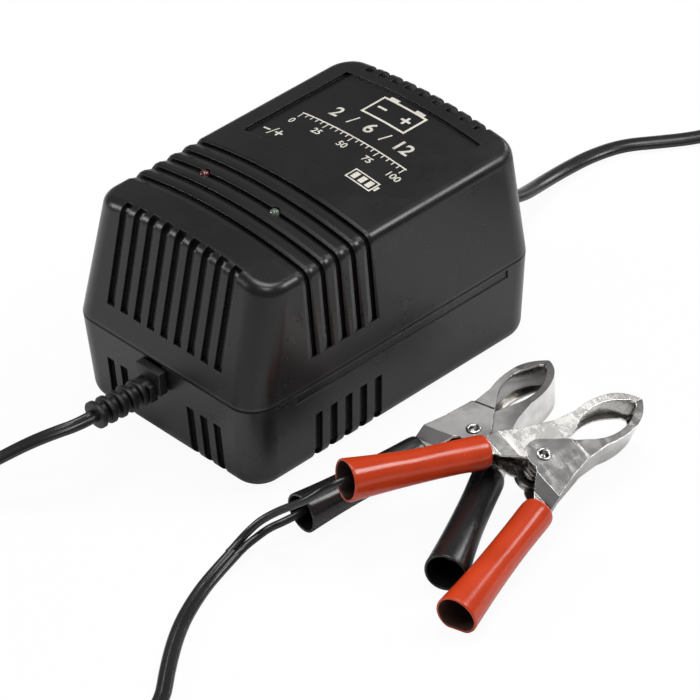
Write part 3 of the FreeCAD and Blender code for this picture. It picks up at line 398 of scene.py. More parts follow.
# %% Mains lead
mains_rest = 1.62
mains_exit = (-1.803, 73.663, 15.332)
mains_out = [
    (-1.51, 70.90, 16.46), mains_exit, (-2.384, 79.196, 13.085), (-3.5, 87.6, 9.6),
    (-6.1, 94.9, 7.0), (-8.4, 102.8, 4.9), (-10.4, 113.4, 2.9), (-10.8, 124.4, 1.8),
]
mains_out += [(x, y, mains_rest) for x, y in (
    (-8.1, 134.8), (-1.4, 143.4), (4.9, 152.2), (9.2, 161.8), (11.0, 171.68))]
nearly_straight = (400, 0.75, 0)
turns = spiral(widest=38.15, pitch=6.1, halves=7, climb=3.3, tail=[180] * 7)
mains_coil = wind((11.742, 180.145, mains_rest), 85, -1, [nearly_straight] + turns)
mains_back = [
    (94.385, 172.914, 4.92), (93.51, 162.95, 4.95), (93.2, 150.5, 5.8), (95.5, 138.5, 7.0),
    (100.43, 129.23, 7.0), (101.4, 127.5, 7.0),
]
drawn = draw_route("mains_lead", mains_out + mains_coil + mains_back)
mains_line = line_of(drawn)
mains_lead = sweep(drawn, oval_section(5.2, 3.2))
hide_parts("mains_lead_start", "mains_lead_coil", "mains_lead_end")
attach(mains_lead, "root")
print("mains lead", round(length_of(mains_line), 3), "m along", len(mains_line), "points")

# %% [markdown]
# ### Where the clips lie
# The wires, sleeves and springs belong to the clips, so we need each clip's own frame: its
# rivet stands along Z at the origin and its nose points along +X. The black clip lies turned
# over on the floor, and the red one rests tilted on top of it.

# %% Clip frames


def turned_by(degrees, axis):
    return Matrix.Rotation(math.radians(degrees), 4, axis)


def moved_by(x, y, z):
    return Matrix.Translation(Vector((x, y, z)) * MM)


clip_frames = {
    "black": moved_by(66.4, -1.4, 6.12) @ turned_by(101.9, "Z") @ turned_by(180, "X"),
    "red": (moved_by(91.3, -2.2, 12.966) @ turned_by(89.5, "Z") @ turned_by(2.3, "Y")
            @ turned_by(23.5, "X")),
}
wire_side = {"black": -1, "red": 1}
handle_root, handle_lean = (-8, 10.5, 0), 17.3


def handle_frame(colour, side):
    """Frame of one handle: X runs out along it from the jaws, Y points to the other handle."""
    flip = Matrix.Scale(side, 4, Vector((0, 1, 0)))
    lean = turned_by(180 - handle_lean, "Z")
    return clip_frames[colour] @ flip @ moved_by(*handle_root) @ lean


def on_handle(colour, side, along, inwards=0.0):
    return handle_frame(colour, side) @ (Vector((along, inwards, 0)) * MM)


print("red sleeve mouth", [round(c / MM, 1) for c in on_handle("red", 1, 42.7)])

# %% [markdown]
# ### Wires
# Past the split each core is a round wire. It goes into the mouth of its clip's upper sleeve
# and ends in the crimp there. When the clip opens, the wire has to bend between the still end
# and the moving end.

# %% Wires
split = {"red": (48.966, -74.389), "black": (51.234, -74.011)}
wire_ways = {
    "red": [(48.43, -71.18, 3.8), (48.9, -68.2, 5.6), (50.5, -65.4, 8.4), (54.2, -62.9, 12.0),
            (59.3, -61.1, 16.1), (63.8, -59.5, 19.7)],
    "black": [(50.70, -70.81, 3.4), (50.95, -67.4, 4.2), (51.3, -62.9, 5.1)],
}
inside_sleeve = ((47.2, 0.0), (38.5, -0.2), (30.0, 0.0))
wires = {}
for colour in ("red", "black"):
    x, y = split[colour]
    way = [(x, y - 1.2, 2.75), (x, y, 3.0)] + wire_ways[colour]
    way += [on_handle(colour, wire_side[colour], *stop) / MM for stop in inside_sleeve]
    drawn = draw_route(colour + "_core_wire", way)
    line_of(drawn)
    wires[colour] = sweep(drawn, oval_section(2 * core_radius, 2 * core_radius, 16))
    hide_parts(colour + "_wire", colour + "_wire_end")
    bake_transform(wires[colour])

# %% [markdown]
# ## Finishes
# Every finish gets the same few effects at its own scale: a fine grain, smudges from
# handling, edges rubbed a little lighter, and painted shade that darkens the colour in
# recesses. Metal has fine scratches too. We build these once as node groups, so that each
# material only sets its own numbers.

# %% Groups, sums and noise


def new_group(name, inputs, outputs):
    """Empty node group, the sockets that it is given and those that it has to fill."""
    group = bpy.data.node_groups.new(name, "ShaderNodeTree")
    for label, value in inputs:
        socket = group.interface.new_socket(label, in_out="INPUT", socket_type="NodeSocketFloat")
        socket.default_value = value
    for label in outputs:
        group.interface.new_socket(label, in_out="OUTPUT", socket_type="NodeSocketFloat")
    return (group, group.nodes.new("NodeGroupInput").outputs,
            group.nodes.new("NodeGroupOutput").inputs)


def above(tree, value, start, gain):
    """How far a value lies above a start, times a gain, and 0 below it."""
    risen = math_node(tree, "SUBTRACT", value, start)
    return math_node(tree, "MAXIMUM", math_node(tree, "MULTIPLY", risen, gain), 0.0)


def plus_share(tree, first, second, share):
    return math_node(tree, "ADD", first, math_node(tree, "MULTIPLY", second, share))


def noise(tree, scale, detail, roughness=0.55, stretch=None):
    """Noise on the piece's own coordinates, in metres. Scale may be a socket or a number."""
    place = tree.nodes.new("ShaderNodeTexCoord").outputs["Object"]
    if stretch:
        mapping = tree.nodes.new("ShaderNodeMapping")
        mapping.inputs["Scale"].default_value = stretch
        tree.links.new(place, mapping.inputs["Vector"])
        place = mapping.outputs["Vector"]
    texture = tree.nodes.new("ShaderNodeTexNoise")
    texture.inputs["Detail"].default_value = detail
    texture.inputs["Roughness"].default_value = roughness
    tree.links.new(place, texture.inputs["Vector"])
    feed(tree, texture.inputs["Scale"], scale)
    return texture.outputs["Fac"]


print("noise is scaled per metre")

# %% Grain, handling and scratches
grain, given, wanted = new_group("moulded_grain", [("Scale", 2600)], ["Height"])
fine = noise(grain, given["Scale"], 3)
coarse = noise(grain, math_node(grain, "MULTIPLY", given["Scale"], 0.27), 2)
grain.links.new(plus_share(grain, fine, coarse, 0.5), wanted["Height"])

smudge, given, wanted = new_group("handling", [("Scale", 60)], ["Mask"])
clouds = noise(smudge, given["Scale"], 5, 0.62)
touched = math_node(smudge, "MINIMUM", above(smudge, clouds, 0.42, 3.2), 1.0)
smudge.links.new(touched, wanted["Mask"])

scratch, given, wanted = new_group("fine_scratches", [("Scale", 500)], ["Height", "Mask"])
lines = noise(scratch, given["Scale"], 4, 0.7, stretch=(0.12, 1.0, 1.0))
cross_scale = math_node(scratch, "MULTIPLY", given["Scale"], 0.8)
cross_lines = noise(scratch, cross_scale, 3, 0.7, stretch=(1.0, 0.15, 1.0))
both = plus_share(scratch, lines, cross_lines, 0.6)
scratch.links.new(both, wanted["Height"])
scratch.links.new(above(scratch, both, 0.72, 3.0), wanted["Mask"])
print("effects:", [group.name for group in bpy.data.node_groups])

# %% Rubbed edges and painted recess shade
wear, given, wanted = new_group("rubbed_edges", [("Radius", 0.0004), ("Amount", 1.0)], ["Mask"])
softened = wear.nodes.new("ShaderNodeBevel")
softened.samples = 4
wear.links.new(given["Radius"], softened.inputs["Radius"])
facing = wear.nodes.new("ShaderNodeVectorMath")
facing.operation = "DOT_PRODUCT"
wear.links.new(softened.outputs["Normal"], facing.inputs[0])
wear.links.new(wear.nodes.new("ShaderNodeNewGeometry").outputs["Normal"], facing.inputs[1])
turned_away = math_node(wear, "SUBTRACT", 1.0, facing.outputs["Value"])
edge = math_node(wear, "MULTIPLY", turned_away, 9.0)
patchy = math_node(wear, "MULTIPLY", edge, noise(wear, 420, 4))
scaled = math_node(wear, "MULTIPLY", patchy, given["Amount"])
wear.links.new(math_node(wear, "MINIMUM", scaled, 1.0), wanted["Mask"])

# Painted shade: a mask from ambient occlusion, 0 deep in a recess and 1 in the open, that darkens
# colours there.
recess_shade, given, wanted = new_group("recess_shade", [("Reach", 0.003)], ["Open"])
shade = recess_shade.nodes.new("ShaderNodeAmbientOcclusion")
shade.samples = 8
recess_shade.links.new(given["Reach"], shade.inputs["Distance"])
unshaded_share = above(recess_shade, shade.outputs["AO"], 0.25, 1.9)
recess_shade.links.new(math_node(recess_shade, "MINIMUM", unshaded_share, 1.0), wanted["Open"])
print(len(bpy.data.node_groups), "effects in all")

# %% [markdown]
# ### One builder for plastics and one for metals
# Plastic and soft vinyl differ in colour, gloss and grain, but are built alike: the colour
# lightens where hands and edges rub, the gloss is patchy, and the grain is a small bump.
# Metal takes its look from what it mirrors, so its builder works on roughness and scratches.
# Both builders also paint shade into the colour in recesses, and the plastic one can paint a
# line of shade along a seam, with a painted highlight on the lip above it.

# %% Material helpers


def blank(name, colour, roughness):
    """Material with a Principled shader whose constant values sit on its own sockets."""
    material = bpy.data.materials.new(name)
    material.use_nodes = True
    shader = material.node_tree.nodes["Principled BSDF"]
    shader.inputs["Base Color"].default_value = (*colour, 1)
    shader.inputs["Roughness"].default_value = roughness
    return material, material.node_tree, shader


def effect(tree, group, **values):
    node = tree.nodes.new("ShaderNodeGroup")
    node.node_tree = group
    for label, value in values.items():
        node.inputs[label.capitalize()].default_value = value
    return node


def colour_between(tree, mask, first, second):
    """Colour that goes from the first, where the mask is 0, to the second."""
    blend = tree.nodes.new("ShaderNodeMix")
    blend.data_type = "RGBA"
    tree.links.new(mask, blend.inputs["Factor"])
    for socket, value in (("A", first), ("B", second)):
        feed(tree, next(s for s in blend.inputs if s.name == socket and s.type == "RGBA"), value)
    return next(s for s in blend.outputs if s.type == "RGBA")


def value_between(tree, mask, low, high):
    span = tree.nodes.new("ShaderNodeMapRange")
    span.inputs["To Min"].default_value = low
    span.inputs["To Max"].default_value = high
    tree.links.new(mask, span.inputs["Value"])
    return span.outputs["Result"]


def times(colour, share):
    return tuple(channel * share for channel in colour)


def bumped(tree, shader, height, depth, rounding=0.0):
    """Bump of so many millimetres; rounding softens the light on a solid's edges."""
    bump = tree.nodes.new("ShaderNodeBump")
    bump.inputs["Distance"].default_value = depth * MM
    bump.inputs["Strength"].default_value = 1.0
    tree.links.new(height, bump.inputs["Height"])
    if rounding:
        soft = tree.nodes.new("ShaderNodeBevel")
        soft.samples = 6
        soft.inputs["Radius"].default_value = rounding * MM
        tree.links.new(soft.outputs["Normal"], bump.inputs["Normal"])
    tree.links.new(bump.outputs["Normal"], shader.inputs["Normal"])


def away_from(tree, height, half):
    """Mask that is 0 at a height in millimetres and 1 from half a line's width away from it."""
    place = tree.nodes.new("ShaderNodeSeparateXYZ")
    tree.links.new(tree.nodes.new("ShaderNodeTexCoord").outputs["Object"], place.inputs["Vector"])
    off = math_node(tree, "SUBTRACT", place.outputs["Z"], height * MM)
    off = math_node(tree, "ABSOLUTE", off)
    return math_node(tree, "MINIMUM", math_node(tree, "DIVIDE", off, half * MM), 1.0)


print("half of a grey is", times((0.4, 0.4, 0.4), 0.5))

# %% Plastic
# Half width of the line of painted shade along a seam, and the height above the seam and half
# width of the painted highlight on its lip, in millimetres.
seam_shade_half = 0.34
lip_highlight_above, lip_highlight_half = 0.7, 0.4
edge_radius = 0.4


def plastic(name, colour, wear_and_highlight, gloss, grain_scale=2600, grain_depth=0.012, rounding=0.0,
            wear_amount=0.6, coat=0.0, smudges=55, reach=0.0, recess_shade_colour=None, shine=0.5, joint=None):
    """Moulded plastic or vinyl. Gloss is the roughness where clean and where handled.

    Reach is how far apart the walls of a recess are for its colour to be painted dark as shade,
    and the colour of that painted shade can be given. Joint is the height of a seam, which gets
    a line of painted shade, with a painted highlight along the lip above it."""
    material, tree, shader = blank(name, colour, gloss[0])
    handled = effect(tree, smudge, scale=smudges).outputs["Mask"]
    edges = effect(tree, wear, radius=edge_radius * MM, amount=wear_amount).outputs["Mask"]
    warmed = colour_between(tree, handled, colour, times(colour, 1.25))
    skin = colour_between(tree, edges, warmed, wear_and_highlight)
    shader.inputs["Specular IOR Level"].default_value = shine
    # Painted shade: where a recess closes in, the colour is painted darker and reflects less.
    if reach:
        outside_shade = effect(tree, recess_shade, reach=reach * MM).outputs["Open"]
        if joint:
            # Painted shade along the seam, which counts as a recess.
            off_seam_shade = away_from(tree, joint, seam_shade_half)
            outside_shade = math_node(tree, "MULTIPLY", outside_shade, off_seam_shade)
            # Painted highlight: a pale line along the lip above the seam.
            skin = colour_between(tree, away_from(tree, joint + lip_highlight_above, lip_highlight_half), wear_and_highlight, skin)
        skin = colour_between(tree, outside_shade, recess_shade_colour or times(colour, 0.15), skin)
        tree.links.new(value_between(tree, outside_shade, 0.04, shine),
                       shader.inputs["Specular IOR Level"])
    tree.links.new(skin, shader.inputs["Base Color"])
    tree.links.new(value_between(tree, handled, *gloss), shader.inputs["Roughness"])
    height = effect(tree, grain, scale=grain_scale).outputs["Height"]
    bumped(tree, shader, height, grain_depth, rounding)
    shader.inputs["Coat Weight"].default_value = coat
    shader.inputs["Coat Roughness"].default_value = 0.12
    return material


# Painted shade darkens the case's slots, grooves and seam, and a painted highlight runs along the
# lip above the seam.
case_black = plastic(
    "case_plastic", (0.0095, 0.0090, 0.0092), (0.040, 0.039, 0.039), (0.27, 0.36),
    grain_depth=0.008, rounding=0.30, wear_amount=0.35, reach=3.0, shine=0.42, joint=28.1)
plug_plastic = plastic("plug_plastic", (0.011, 0.011, 0.0112), (0.04, 0.04, 0.04), (0.35, 0.46),
                       rounding=0.5)
bobbin_nylon = plastic("bobbin_nylon", (0.62, 0.60, 0.52), (0.70, 0.68, 0.60), (0.40, 0.5),
                       rounding=0.3)
capacitor_film = plastic("capacitor_film", (0.02, 0.03, 0.10), (0.10, 0.12, 0.25), (0.22, 0.3),
                         coat=0.3)
diode_resin = plastic("diode_resin", (0.016, 0.016, 0.017), (0.05, 0.05, 0.05), (0.42, 0.5),
                      rounding=0.15)
laminate = plastic("board_laminate", (0.05, 0.16, 0.06), (0.35, 0.32, 0.18), (0.32, 0.42),
                   coat=0.2)
ink = plastic("label_ink", (0.60, 0.575, 0.51), (0.30, 0.29, 0.27), (0.48, 0.6),
              grain_scale=5000, grain_depth=0.004, wear_amount=0.0, smudges=260)
print(len(bpy.data.materials), "materials so far")

# %% Soft vinyls
# Painted shade darkens the boot between its ribs.
boot_vinyl = plastic("boot_vinyl", (0.009, 0.0088, 0.009), (0.03, 0.03, 0.03), (0.42, 0.52),
                     reach=2.5, shine=0.4)
jacket_vinyl = plastic("lead_jacket", (0.014, 0.0132, 0.0135), (0.03, 0.03, 0.03), (0.24, 0.34),
                       grain_scale=1500, grain_depth=0.002, wear_amount=0.0)
# Reach paints the sleeves dark inside as shade; the red one's painted shade is dark brown.
sleeve_skin = {"grain_scale": 900, "grain_depth": 0.006, "wear_amount": 0.35, "reach": 7.0}
red_vinyl = plastic("red_vinyl", (0.52, 0.043, 0.008), (0.66, 0.10, 0.03), (0.20, 0.30),
                    recess_shade_colour=(0.030, 0.022, 0.020), shine=0.42, **sleeve_skin)
black_vinyl = plastic("black_vinyl", (0.0115, 0.011, 0.0112), (0.04, 0.04, 0.04), (0.22, 0.32),
                      **sleeve_skin)
# Colours painted on the sleeves' inner walls as shade, darker still deep inside.
red_inner_shade = plastic("red_inner_shade", (0.060, 0.030, 0.024), (0.10, 0.05, 0.04), (0.40, 0.50),
                     grain_scale=900, reach=7.0)
black_inner_shade = plastic("black_inner_shade", (0.006, 0.006, 0.006), (0.02, 0.02, 0.02), (0.40, 0.50),
                       grain_scale=900, reach=7.0)
print(len(bpy.data.materials), "materials so far")

# %% Metal


def metal(name, colour, dulled, gloss, scratch_depth=0.004, rounding=0.0, reach=0.0, waves=0.0):
    """Bare or plated metal, scratched and patchily polished, with painted shade where it faces
    itself.

    Waves is the depth of the slow dents that pressing leaves in a sheet."""
    material, tree, shader = blank(name, colour, gloss[0])
    shader.inputs["Metallic"].default_value = 1.0
    scratches = effect(tree, scratch, scale=500)
    handled = effect(tree, smudge, scale=90).outputs["Mask"]
    skin = colour_between(tree, handled, colour, dulled)
    if reach:
        # Painted shade: the colour goes dark brown where the metal faces itself in a recess.
        outside_shade = effect(tree, recess_shade, reach=reach * MM).outputs["Open"]
        skin = colour_between(tree, outside_shade, (0.045, 0.037, 0.030), skin)
    tree.links.new(skin, shader.inputs["Base Color"])
    rough = plus_share(tree, value_between(tree, handled, *gloss), scratches.outputs["Mask"], 0.12)
    tree.links.new(rough, shader.inputs["Roughness"])
    height = scratches.outputs["Height"]
    if waves:
        height = plus_share(tree, height, noise(tree, 150, 2), waves / scratch_depth)
    bumped(tree, shader, height, scratch_depth, rounding)
    return material


nickel = metal("clip_nickel", (0.82, 0.80, 0.775), (0.50, 0.49, 0.485), (0.13, 0.21),
               scratch_depth=0.002, rounding=0.22, reach=9.0, waves=0.05)
# A lighter copy of the clip nickel: painted light on the red clip's upper jaw.
lit_nickel = metal("lit_nickel", (0.92, 0.90, 0.86), (0.78, 0.76, 0.73), (0.22, 0.28),
                      scratch_depth=0.0006, rounding=0.22, reach=6.0, waves=0.03)
spring_wire = metal("spring_steel", (0.62, 0.60, 0.57), (0.50, 0.48, 0.45), (0.20, 0.30),
                    reach=2.5)
pin_nickel = metal("pin_nickel", (0.80, 0.78, 0.74), (0.72, 0.70, 0.66), (0.15, 0.25),
                   rounding=0.2)
crimp_brass = metal("crimp_brass", (0.76, 0.55, 0.25), (0.62, 0.42, 0.18), (0.22, 0.34),
                    rounding=0.15)
screw_zinc = metal("screw_zinc", (0.66, 0.67, 0.68), (0.55, 0.56, 0.55), (0.26, 0.38),
                   rounding=0.2)
sink_metal = metal("sink_aluminium", (0.70, 0.71, 0.72), (0.62, 0.63, 0.64), (0.34, 0.46),
                   rounding=0.15)
print(len(bpy.data.materials), "materials so far")

# %% [markdown]
# ### Clear lenses, laminations and tape
# A lamp's lens is tinted clear plastic, so it lets light in and is dark where there is
# nothing lit behind it. The transformer's core is a stack of thin sheets and its winding is
# wrapped in tape, so both have lines that come from a wave across them.

# %% Lenses, core and tape


def lens_plastic(name, colour, roughness):
    material, tree, shader = blank(name, colour, roughness)
    tone = effect(tree, smudge, scale=700).outputs["Mask"]
    tree.links.new(colour_between(tree, tone, colour, times(colour, 0.6)),
                   shader.inputs["Base Color"])
    tree.links.new(value_between(tree, tone, roughness, roughness + 0.12),
                   shader.inputs["Roughness"])
    shader.inputs["Transmission Weight"].default_value = 0.45
    shader.inputs["IOR"].default_value = 1.5
    shader.inputs["Coat Weight"].default_value = 0.6
    shader.inputs["Coat Roughness"].default_value = 0.05
    return material


def layered(name, colour, seam, pitch, axis, gloss, metallic=0.0):
    """Sheets or turns lying against each other, a pitch in millimetres apart along an axis."""
    material, tree, shader = blank(name, colour, gloss[0])
    place = tree.nodes.new("ShaderNodeTexCoord").outputs["Object"]
    wave = tree.nodes.new("ShaderNodeTexWave")
    wave.bands_direction = axis
    wave.inputs["Scale"].default_value = math.pi / 10 / (pitch * MM)
    wave.inputs["Distortion"].default_value = 0.4
    wave.inputs["Detail"].default_value = 2
    tree.links.new(place, wave.inputs["Vector"])
    band = math_node(tree, "GREATER_THAN", wave.outputs["Fac"], 0.2)
    tree.links.new(colour_between(tree, band, seam, colour), shader.inputs["Base Color"])
    handled = effect(tree, smudge, scale=120).outputs["Mask"]
    tree.links.new(value_between(tree, handled, *gloss), shader.inputs["Roughness"])
    bumped(tree, shader, wave.outputs["Fac"], 0.05)
    shader.inputs["Metallic"].default_value = metallic
    return material


red_lens = lens_plastic("red_lens", (0.17, 0.014, 0.013), 0.10)
clear_lens = lens_plastic("clear_lens", (0.20, 0.26, 0.21), 0.08)
core_sheets = layered("core_sheets", (0.20, 0.20, 0.21), (0.05, 0.04, 0.035), 0.5, "Y",
                      (0.40, 0.55), 0.8)
winding_tape = layered("winding_tape", (0.62, 0.46, 0.08), (0.40, 0.28, 0.05), 4.0, "Z",
                       (0.25, 0.38))
print(len(bpy.data.materials), "materials in all")

# %% Dress the solids that stay


def dress(piece, *materials):
    """Gives a piece of ours these materials and no others."""
    piece.data.materials.clear()
    for material in materials:
        piece.data.materials.append(material)


dressed = {
    "upper_shell": case_black, "lower_shell": case_black, "led_polarity": red_lens,
    "led_charge": clear_lens, "mains_plug_body": plug_plastic, "mains_plug_pins": pin_nickel,
    "housing_screws": screw_zinc, "transformer_core": core_sheets,
    "transformer_bobbin": bobbin_nylon, "transformer_winding": winding_tape,
    "circuit_board": laminate, "smoothing_capacitor": capacitor_film,
    "rectifier_diodes": diode_resin, "regulator": diode_resin, "heat_sink": sink_metal,
    "red_crimp": crimp_brass, "black_crimp": crimp_brass, "black_upper_jaw": nickel,
    # The red clip's upper jaw takes the lighter nickel as painted light.
    "black_lower_jaw": nickel, "red_upper_jaw": lit_nickel, "red_lower_jaw": nickel,
}
for name, material in dressed.items():
    solids[name].material_slots[0].material = material
for piece in (output_lead, mains_lead, wires["red"], wires["black"]):
    dress(piece, jacket_vinyl)
print(len(dressed), "solids dressed")

# %% [markdown]
# ## Clip sleeves
# The handles wear soft vinyl sleeves: tight and a little square where they stretch over the
# metal, slack further out, and flared at the mouth with the wall's thickness showing. We
# draw one ring, extrude it along the handle and resize it at each stop, and then thicken the
# skin inwards. The worn sleeve of the red clip gets a soft crease. Rivets and boots grow from
# a ring in the same way, so the ring's walk from stop to stop is a function of its own.

# %% A ring that grows from stop to stop


def through_stops(stops, axis):
    """Extrudes the active ring, 1 mm in radius, through stops along an axis.

    A stop is a distance and two half sizes, in millimetres. The ring lies at the first."""
    bpy.ops.object.mode_set(mode="EDIT")
    bpy.ops.mesh.select_all(action="SELECT")
    before, wide, tall = stops[0][0], 1.0, 1.0
    for number, (along, across, high) in enumerate(stops):
        if number:
            step = tuple(axis * ((along - before) * MM))
            bpy.ops.mesh.extrude_region_move(TRANSFORM_OT_translate={"value": step})
        growth = (across / wide, high / tall)
        growth = (1, *growth) if axis.x else (*growth, 1)
        bpy.ops.transform.resize(value=growth, center_override=tuple(axis * (along * MM)))
        before, wide, tall = along, across, high
    bpy.ops.object.mode_set(mode="OBJECT")


def apply_modifiers(piece):
    only(piece)
    for modifier in list(piece.modifiers):
        bpy.ops.object.modifier_apply(modifier=modifier.name)


along_x, along_z = Vector((1, 0, 0)), Vector((0, 0, 1))
print("rings grow along", tuple(along_x), "or", tuple(along_z))

# %% Sleeve shape
sleeve_stops = [
    # along the handle, half size across the clip, half size along the rivet
    (1.6, 4.10, 4.20), (2.0, 4.55, 4.60), (3.4, 4.72, 4.74), (7.0, 4.62, 4.66),
    (12.0, 4.55, 4.62), (18.0, 4.60, 4.66), (24.0, 4.72, 4.78), (30.0, 4.92, 4.96),
    (35.0, 5.20, 5.18), (39.0, 5.45, 5.42), (41.6, 5.62, 5.60), (42.4, 5.68, 5.66),
]
sleeve_start = sleeve_stops[0][0]
sleeve_mouth = 42
crease_at, crease_sway, crease_half = 21, 2.5, 3.4
crease_lean = 2.2
slack, slack_from = 0.10, 25


def sized_stops(stretch, flare):
    """The plain stops, made so much longer along the handle and wider at the mouth."""
    stops = []
    for along, across, high in sleeve_stops:
        widened = 1 + (flare - 1) * (along / sleeve_mouth) ** 2
        longer = sleeve_start + (along - sleeve_start) * stretch
        stops.append((longer, across * widened, high * widened))
    return stops


def loosen(piece, crease):
    """Pushes in a soft crease on one side and lets the skin wave a little."""
    for vertex in piece.data.vertices:
        along, across, high = vertex.co / MM
        outward = math.hypot(across, high)
        angle = math.atan2(high, across)
        from_crease = (along - crease_at - crease_sway * math.sin(angle)) / crease_half
        fold = math.exp(-from_crease ** 2) * max(0.0, math.cos(angle - crease_lean)) ** 2
        wave = slack * math.sin(3 * angle + along * 0.11) * min(1.0, along / slack_from)
        new_out = outward - crease * fold + wave
        vertex.co.y *= new_out / outward
        vertex.co.z *= new_out / outward


print("a plain sleeve is", round(sleeve_stops[-1][0] - sleeve_start, 1), "mm long")

# %% Sleeves
sleeve_wall = 0.8
above_floor = 0.15


def sleeve(name, colour, side, body, materials, crease, stretch, flare):
    """Open vinyl sleeve on one handle, built along X and then put in place."""
    bpy.ops.mesh.primitive_circle_add(vertices=40, radius=MM, location=(sleeve_start * MM, 0, 0),
                                      rotation=(0, math.radians(90), 0))
    piece = settled()
    piece.name = name
    through_stops(sized_stops(stretch, flare), along_x)
    loosen(piece, crease)
    piece.data.transform(handle_frame(colour, side))
    for vertex in piece.data.vertices:
        vertex.co.z = max(vertex.co.z, above_floor * MM)
    dress(piece, *materials)
    face_outwards(piece)
    wall = piece.modifiers.new("wall", "SOLIDIFY")
    wall.thickness = sleeve_wall * MM
    wall.offset = -1
    # The inner wall takes the second material, whose colour is painted shade.
    wall.material_offset = 1
    smooth = piece.modifiers.new("soft", "SUBSURF")
    smooth.levels = smooth.render_levels = 2
    apply_modifiers(piece)
    bpy.ops.object.shade_smooth()
    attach(piece, body)
    nothing_selected()
    return piece


sleeve_sizes = {
    # how much longer and how much wider at the mouth than the plain sleeve
    "black_upper_sleeve": (1.0, 1.03), "black_lower_sleeve": (1.02, 1.06),
    "red_upper_sleeve": (1.03, 1.05), "red_lower_sleeve": (1.085, 1.06),
}
# Each sleeve's vinyl, and the colour painted on its inner wall as shade.
sleeve_vinyl_and_shade = {"black": (black_vinyl, black_inner_shade), "red": (red_vinyl, red_inner_shade)}
for colour, vinyl in sleeve_vinyl_and_shade.items():
    halves = (("upper", wire_side[colour], colour + "_lever"),
              ("lower", -wire_side[colour], "root"))
    for half, side, body in halves:
        name = f"{colour}_{half}_sleeve"
        creased = 0.5 if name == "red_upper_sleeve" else 0.12
        made = sleeve(name + "_vinyl", colour, side, body, vinyl, creased, *sleeve_sizes[name])
        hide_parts(name)
        print(made.name, len(made.data.polygons), "faces")

# %% [markdown]
# ## Springs
# A torsion spring of hard wire sits round each rivet, with one leg against each handle. It is
# one wire from end to end, so it is one spline with a dozen points to a turn. When the clip
# opens, the spring winds up.

# %% Springs
wire_radius = 0.5
spring_radius = 3.2
spring_pitch = 1.7
whole_turns = 3
leg_end = (-6.205, 11.41)
leg_angle = math.atan2(leg_end[1], leg_end[0]) - math.acos(spring_radius / math.hypot(*leg_end))


def spring_points():
    """Control points in the clip's frame: a leg, three turns and a bit, and the other leg."""
    wound = 2 * math.pi * whole_turns
    total = wound + 2 * leg_angle
    touch = (spring_radius * math.cos(leg_angle), spring_radius * math.sin(leg_angle))
    half_tall = whole_turns / 2 * spring_pitch
    start = [(leg_end[0], leg_end[1], -half_tall),
             ((leg_end[0] + touch[0]) / 2, (leg_end[1] + touch[1]) / 2, -half_tall)]
    turns = []
    steps = 42
    away = spring_radius * 1.012
    for number in range(steps + 1):
        turned_so_far = total * number / steps
        angle = leg_angle - turned_so_far
        climb = min(1.0, max(0.0, (turned_so_far - leg_angle) / wound))
        turns.append((away * math.cos(angle), away * math.sin(angle),
                      -half_tall + 2 * half_tall * climb))
    finish = [(x, -y, -z) for x, y, z in reversed(start)]
    return start + turns + finish


for colour in ("black", "red"):
    placed = [clip_frames[colour] @ (Vector(point) * MM) / MM for point in spring_points()]
    drawn = draw_route(colour + "_spring_wire", placed)
    drawn.data.resolution_u = 4
    coiled = sweep(drawn, oval_section(2 * wire_radius, 2 * wire_radius, 10))
    dress(coiled, spring_wire)
    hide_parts(colour + "_spring")
    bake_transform(coiled)
    print(coiled.name, len(coiled.data.polygons), "faces")

# %% [markdown]
# ## Rivets
# The two halves of a clip turn on a tubular rivet whose ends are rolled over into a ring with
# a hollow middle. We draw one ring and extrude and resize it from end to end.

# %% Rivets
rivet_stops = [
    # height along the rivet, radius: from the hollow of one end over its ring to the shank
    (-4.70, 0.10), (-4.72, 1.00), (-5.80, 1.12), (-6.08, 1.40), (-6.10, 1.78), (-5.90, 2.08),
    (-5.66, 2.10), (-5.63, 1.58),
]
rivet_stops += [(-height, radius) for height, radius in reversed(rivet_stops)]

for colour in ("black", "red"):
    bpy.ops.mesh.primitive_circle_add(vertices=32, radius=MM, fill_type="NGON",
                                      location=(0, 0, rivet_stops[0][0] * MM))
    rivet = settled()
    rivet.name = colour + "_rivet_rolled"
    through_stops([(height, radius, radius) for height, radius in rivet_stops], along_z)
    face_outwards(rivet)
    smooth = rivet.modifiers.new("soft", "SUBSURF")
    smooth.levels = smooth.render_levels = 1
    apply_modifiers(rivet)
    bpy.ops.object.shade_smooth()
    rivet.data.transform(clip_frames[colour])
    dress(rivet, nickel)
    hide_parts(colour + "_rivet")
    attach(rivet, solids[colour + "_rivet"]["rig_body"])
    nothing_selected()
    print(rivet.name, len(rivet.data.polygons), "faces")

# %% [markdown]
# ## Strain reliefs
# Where a lead leaves the case, a soft moulding keeps it from kinking: a flange on the wall, a
# short block, and a tapered boot with thick oval ribs. We draw the boot's ring, extrude it
# stop by stop, out and in again at every rib, and round the ribs with a bevel.

# %% Boot
boot_length = 18.6
boot_ribs = 5
rib_thick, rib_pitch = 1.5, 3.45
rib_half = (4.5, 3.7)
core_half, core_narrows = 2.75, 0.30


def boot_stops():
    """Stops along the boot: distance, half width and half height."""
    stops = [(0.0, 3.30, 3.20)]
    for number in range(boot_ribs):
        begin = boot_length - rib_thick - (boot_ribs - 1 - number) * rib_pitch
        taper = core_half - core_narrows * number / (boot_ribs - 1)
        stops += [(begin, taper, taper - 0.1), (begin, *rib_half),
                  (begin + rib_thick, *rib_half), (begin + rib_thick, taper, taper - 0.1)]
    stops[-1] = (boot_length, 2.3, 2.0)
    return stops


